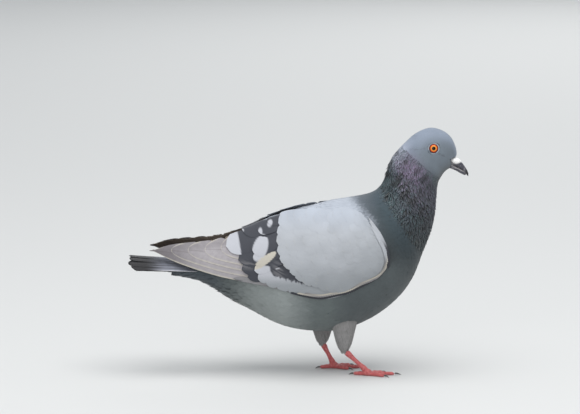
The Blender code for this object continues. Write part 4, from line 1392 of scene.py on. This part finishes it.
def make_eyes(looks):
    """Eyeballs, each in a ring of bare lid with a dark margin."""
    tilt, radius = math.radians(9.9), 6.75
    upright = Matrix.Rotation(math.radians(90), 3, "X")
    rings = (("eye_ring", 4.78, 0.72, 4.98, "lid"), ("lid_margin", 4.12, 0.26, 5.42, "rim"))
    for word, side in SIDES.items():
        outward = Vector((0, side * math.cos(tilt), math.sin(tilt)))
        turned = Vector((0, 0, 1)).rotation_difference(outward).to_matrix()
        centre = Vector((EYE_CENTRE[0], side * EYE_OUT, EYE_CENTRE[1])) - outward * radius

        def set_in_head(bm, name, depth, look, *replaced):
            """Turns a shape to face out of the head, sets it there and makes it a piece."""
            bmesh.ops.rotate(bm, matrix=turned, verts=bm.verts)
            bmesh.ops.translate(bm, vec=(centre + outward * depth) * MM, verts=bm.verts)
            mesh = mesh_of(bm, name)
            mesh.shade_smooth()
            as_piece(mesh, f"{name}_{word}", looks[look], "eye", *replaced)

        ball = bmesh.new()
        bmesh.ops.create_uvsphere(ball, u_segments=48, v_segments=32, radius=radius * MM)
        set_in_head(ball, "eyeball", 0, "eye", f"eye_{word}")
        for name, reach, thick, depth, look in rings:
            ring = bmesh.new()
            bmesh.ops.create_circle(ring, segments=12, radius=thick * MM)
            bmesh.ops.rotate(ring, matrix=upright, verts=ring.verts)
            bmesh.ops.translate(ring, vec=Vector((reach, 0, 0)) * MM, verts=ring.verts)
            bmesh.ops.spin(ring, geom=ring.verts[:] + ring.edges[:], cent=(0, 0, 0), axis=(0, 0, 1),
                           dvec=(0, 0, 0), angle=2 * math.pi, steps=64, use_merge=True,
                           use_duplicate=False)
            bmesh.ops.remove_doubles(ring, verts=ring.verts, dist=1e-7)
            bmesh.ops.recalc_face_normals(ring, faces=ring.faces)
            set_in_head(ring, name, depth, look)


def make_bill(looks):
    """The two halves of the bill and the cere, smoothed from their solids."""
    for node, grow, voxel, rounds, finish, slot in (
        ("bill_upper", 0.20, 0.30, 5, "bill", "horn"),
        ("bill_lower", 0.20, 0.30, 5, "bill", "horn"),
        ("cere", 0.08, 0.28, 4, "cere", "cere"),
    ):
        mesh = remeshed([node], grow, voxel, rounds)
        as_piece(mesh, f"{node}_shell", looks[finish], slot, node)


def make_feet(looks):
    """Scaly shanks and toes, smoothed from their solids."""
    for word in SIDES:
        mesh = remeshed([f"tarsus_{word}", f"foot_{word}"], 0.1, 0.6, 3)
        points = mesh_points(mesh)
        points[:, 2] = np.maximum(points[:, 2], 0)
        mesh.vertices.foreach_set("co", (points * MM).ravel())
        as_piece(mesh, f"leg_{word}", looks["foot"], "foot_skin", f"tarsus_{word}", f"foot_{word}")
    for name, node in NODES.items():
        if name.startswith("claw_"):
            for i in range(len(node.material_slots)):
                node.material_slots[i].material = looks["claw"]


def make_cores(looks):
    """Thin dark webs inside the wings and tail, which the feathers lie on."""
    for word in SIDES:
        names = [f"secondaries_{word}", f"primaries_{word}"]
        mesh = remeshed(names, -0.6, 0.7, 2)
        rise = 0.35 if word == "left" else 0
        mesh.transform(Matrix.Translation((0, -0.7 * SIDES[word] * MM, rise * MM)))
        as_piece(mesh, f"inner_webs_{word}", looks["core"], "flight_feathers", *names)
    mesh = remeshed(["tail"], -0.7, 0.5, 2)
    mesh.transform(Matrix.Translation((0, 0, -0.6 * MM)))
    as_piece(mesh, "tail_webs", looks["tail_core"], "tail_feathers", "tail")


def make_studio():
    """A pale floor, a wide soft light overhead, a fill and a light from behind."""
    bm = bmesh.new()
    bmesh.ops.create_grid(bm, x_segments=1, y_segments=1, size=9)
    mesh = mesh_of(bm, "floor")
    look = Look("studio_floor", roughness=0.9)
    look.shader.inputs["Base Color"].default_value = (0.62, 0.62, 0.61, 1)
    mesh.materials.append(look.material)
    floor = placed("floor", mesh)
    lit = Vector((0, 0, 0.12))
    for name, place, size, power in (
        ("sky_light", (0.1, -0.5, 2.2), 2.4, 46),
        ("fill_light", (-0.4, -2.6, 1), 2, 16),
        ("back_light", (0.5, 2.4, 1.2), 2, 14),
    ):
        lamp = bpy.data.lights.new(name, "AREA")
        lamp.shape, lamp.size, lamp.energy = "DISK", size, power
        made = placed(name, lamp)
        made.location = place
        made.rotation_euler = (lit - Vector(place)).to_track_quat("-Z", "Y").to_euler()
    world = bpy.data.worlds.new("studio")
    world.use_nodes = True
    sky = world.node_tree.nodes["Background"].inputs
    sky["Color"].default_value, sky["Strength"].default_value = (0.90, 0.95, 1, 1), 0.55
    bpy.context.scene.world = world
    bpy.context.scene.view_settings.view_transform = "Standard"


def make_camera():
    """Nearly level and square to the bird's right side, far enough off to flatten it."""
    lens = bpy.data.cameras.new("camera")
    lens.sensor_width, lens.lens = 36, 402.2
    lens.clip_end = 100
    camera = placed("camera", lens)
    tilt, away, aim_x, aim_z = math.radians(9), 6, -0.008, 0.155
    camera.location = (aim_x, -away * math.cos(tilt), aim_z + away * math.sin(tilt))
    camera.rotation_euler = (math.radians(90) - tilt, 0, 0)
    bpy.context.scene.camera = camera


def main():
    """Makes the studio, the finishes and every piece."""
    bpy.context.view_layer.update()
    make_camera()
    make_studio()
    looks = {
        "plumage": plumage_look("contour_feather", depth=0.03, streak=0.05, roughness=0.78,
                                sheen_weight=0.15, sheen_roughness=0.5),
        "neck": plumage_look("neck_gloss", barb=0.35, depth=0.03, streak=0.08, roughness=0.45,
                             sheen_weight=0.12, specular_ior_level=0.6),
        "coverts": plumage_look("covert_feather", barb=0.7, depth=0.02, streak=0.03, roughness=0.72,
                                sheen_weight=0.12, sheen_roughness=0.5),
        "flight": flight_look(),
        "skin": skin_look(),
        "core": core_look("inner_web", paint(66, 54, 43), paint(140, 128, 116), paint(36, 30, 26)),
        "tail_core": core_look("tail_web", paint(34, 34, 37), paint(84, 87, 94), paint(24, 24, 26)),
        "bill": bill_look(),
        "cere": grained_look("cere_chalk", 0.85, (2, 5, 0.65), paint(240, 236, 232),
                             paint(254, 254, 254), 0.16, 0.15),
        "eye": eye_look(),
        "lid": grained_look("eye_ring", 0.6, (2.2, 4), paint(150, 156, 164), paint(176, 182, 190), 0.10),
        "rim": rim_look(),
        "foot": foot_look(),
        "claw": grained_look("claw_horn", 0.35, (1.5, 3), paint(44, 40, 40), paint(84, 78, 76), 0.04),
    }
    looks = {name: look.material for name, look in looks.items()}
    flesh = remeshed(FLESH, 0.3, 1.4, 6)
    outer = outer_surface(flesh)
    make_skin(flesh, looks["skin"])
    make_cores(looks)
    make_body_coat(looks, outer)
    for word in SIDES:
        make_thigh_coat(word, looks)
        make_primaries(word, looks)
        make_wing_coat(word, looks)
    make_tail(looks)
    make_eyes(looks)
    make_bill(looks)
    make_feet(looks)


main()
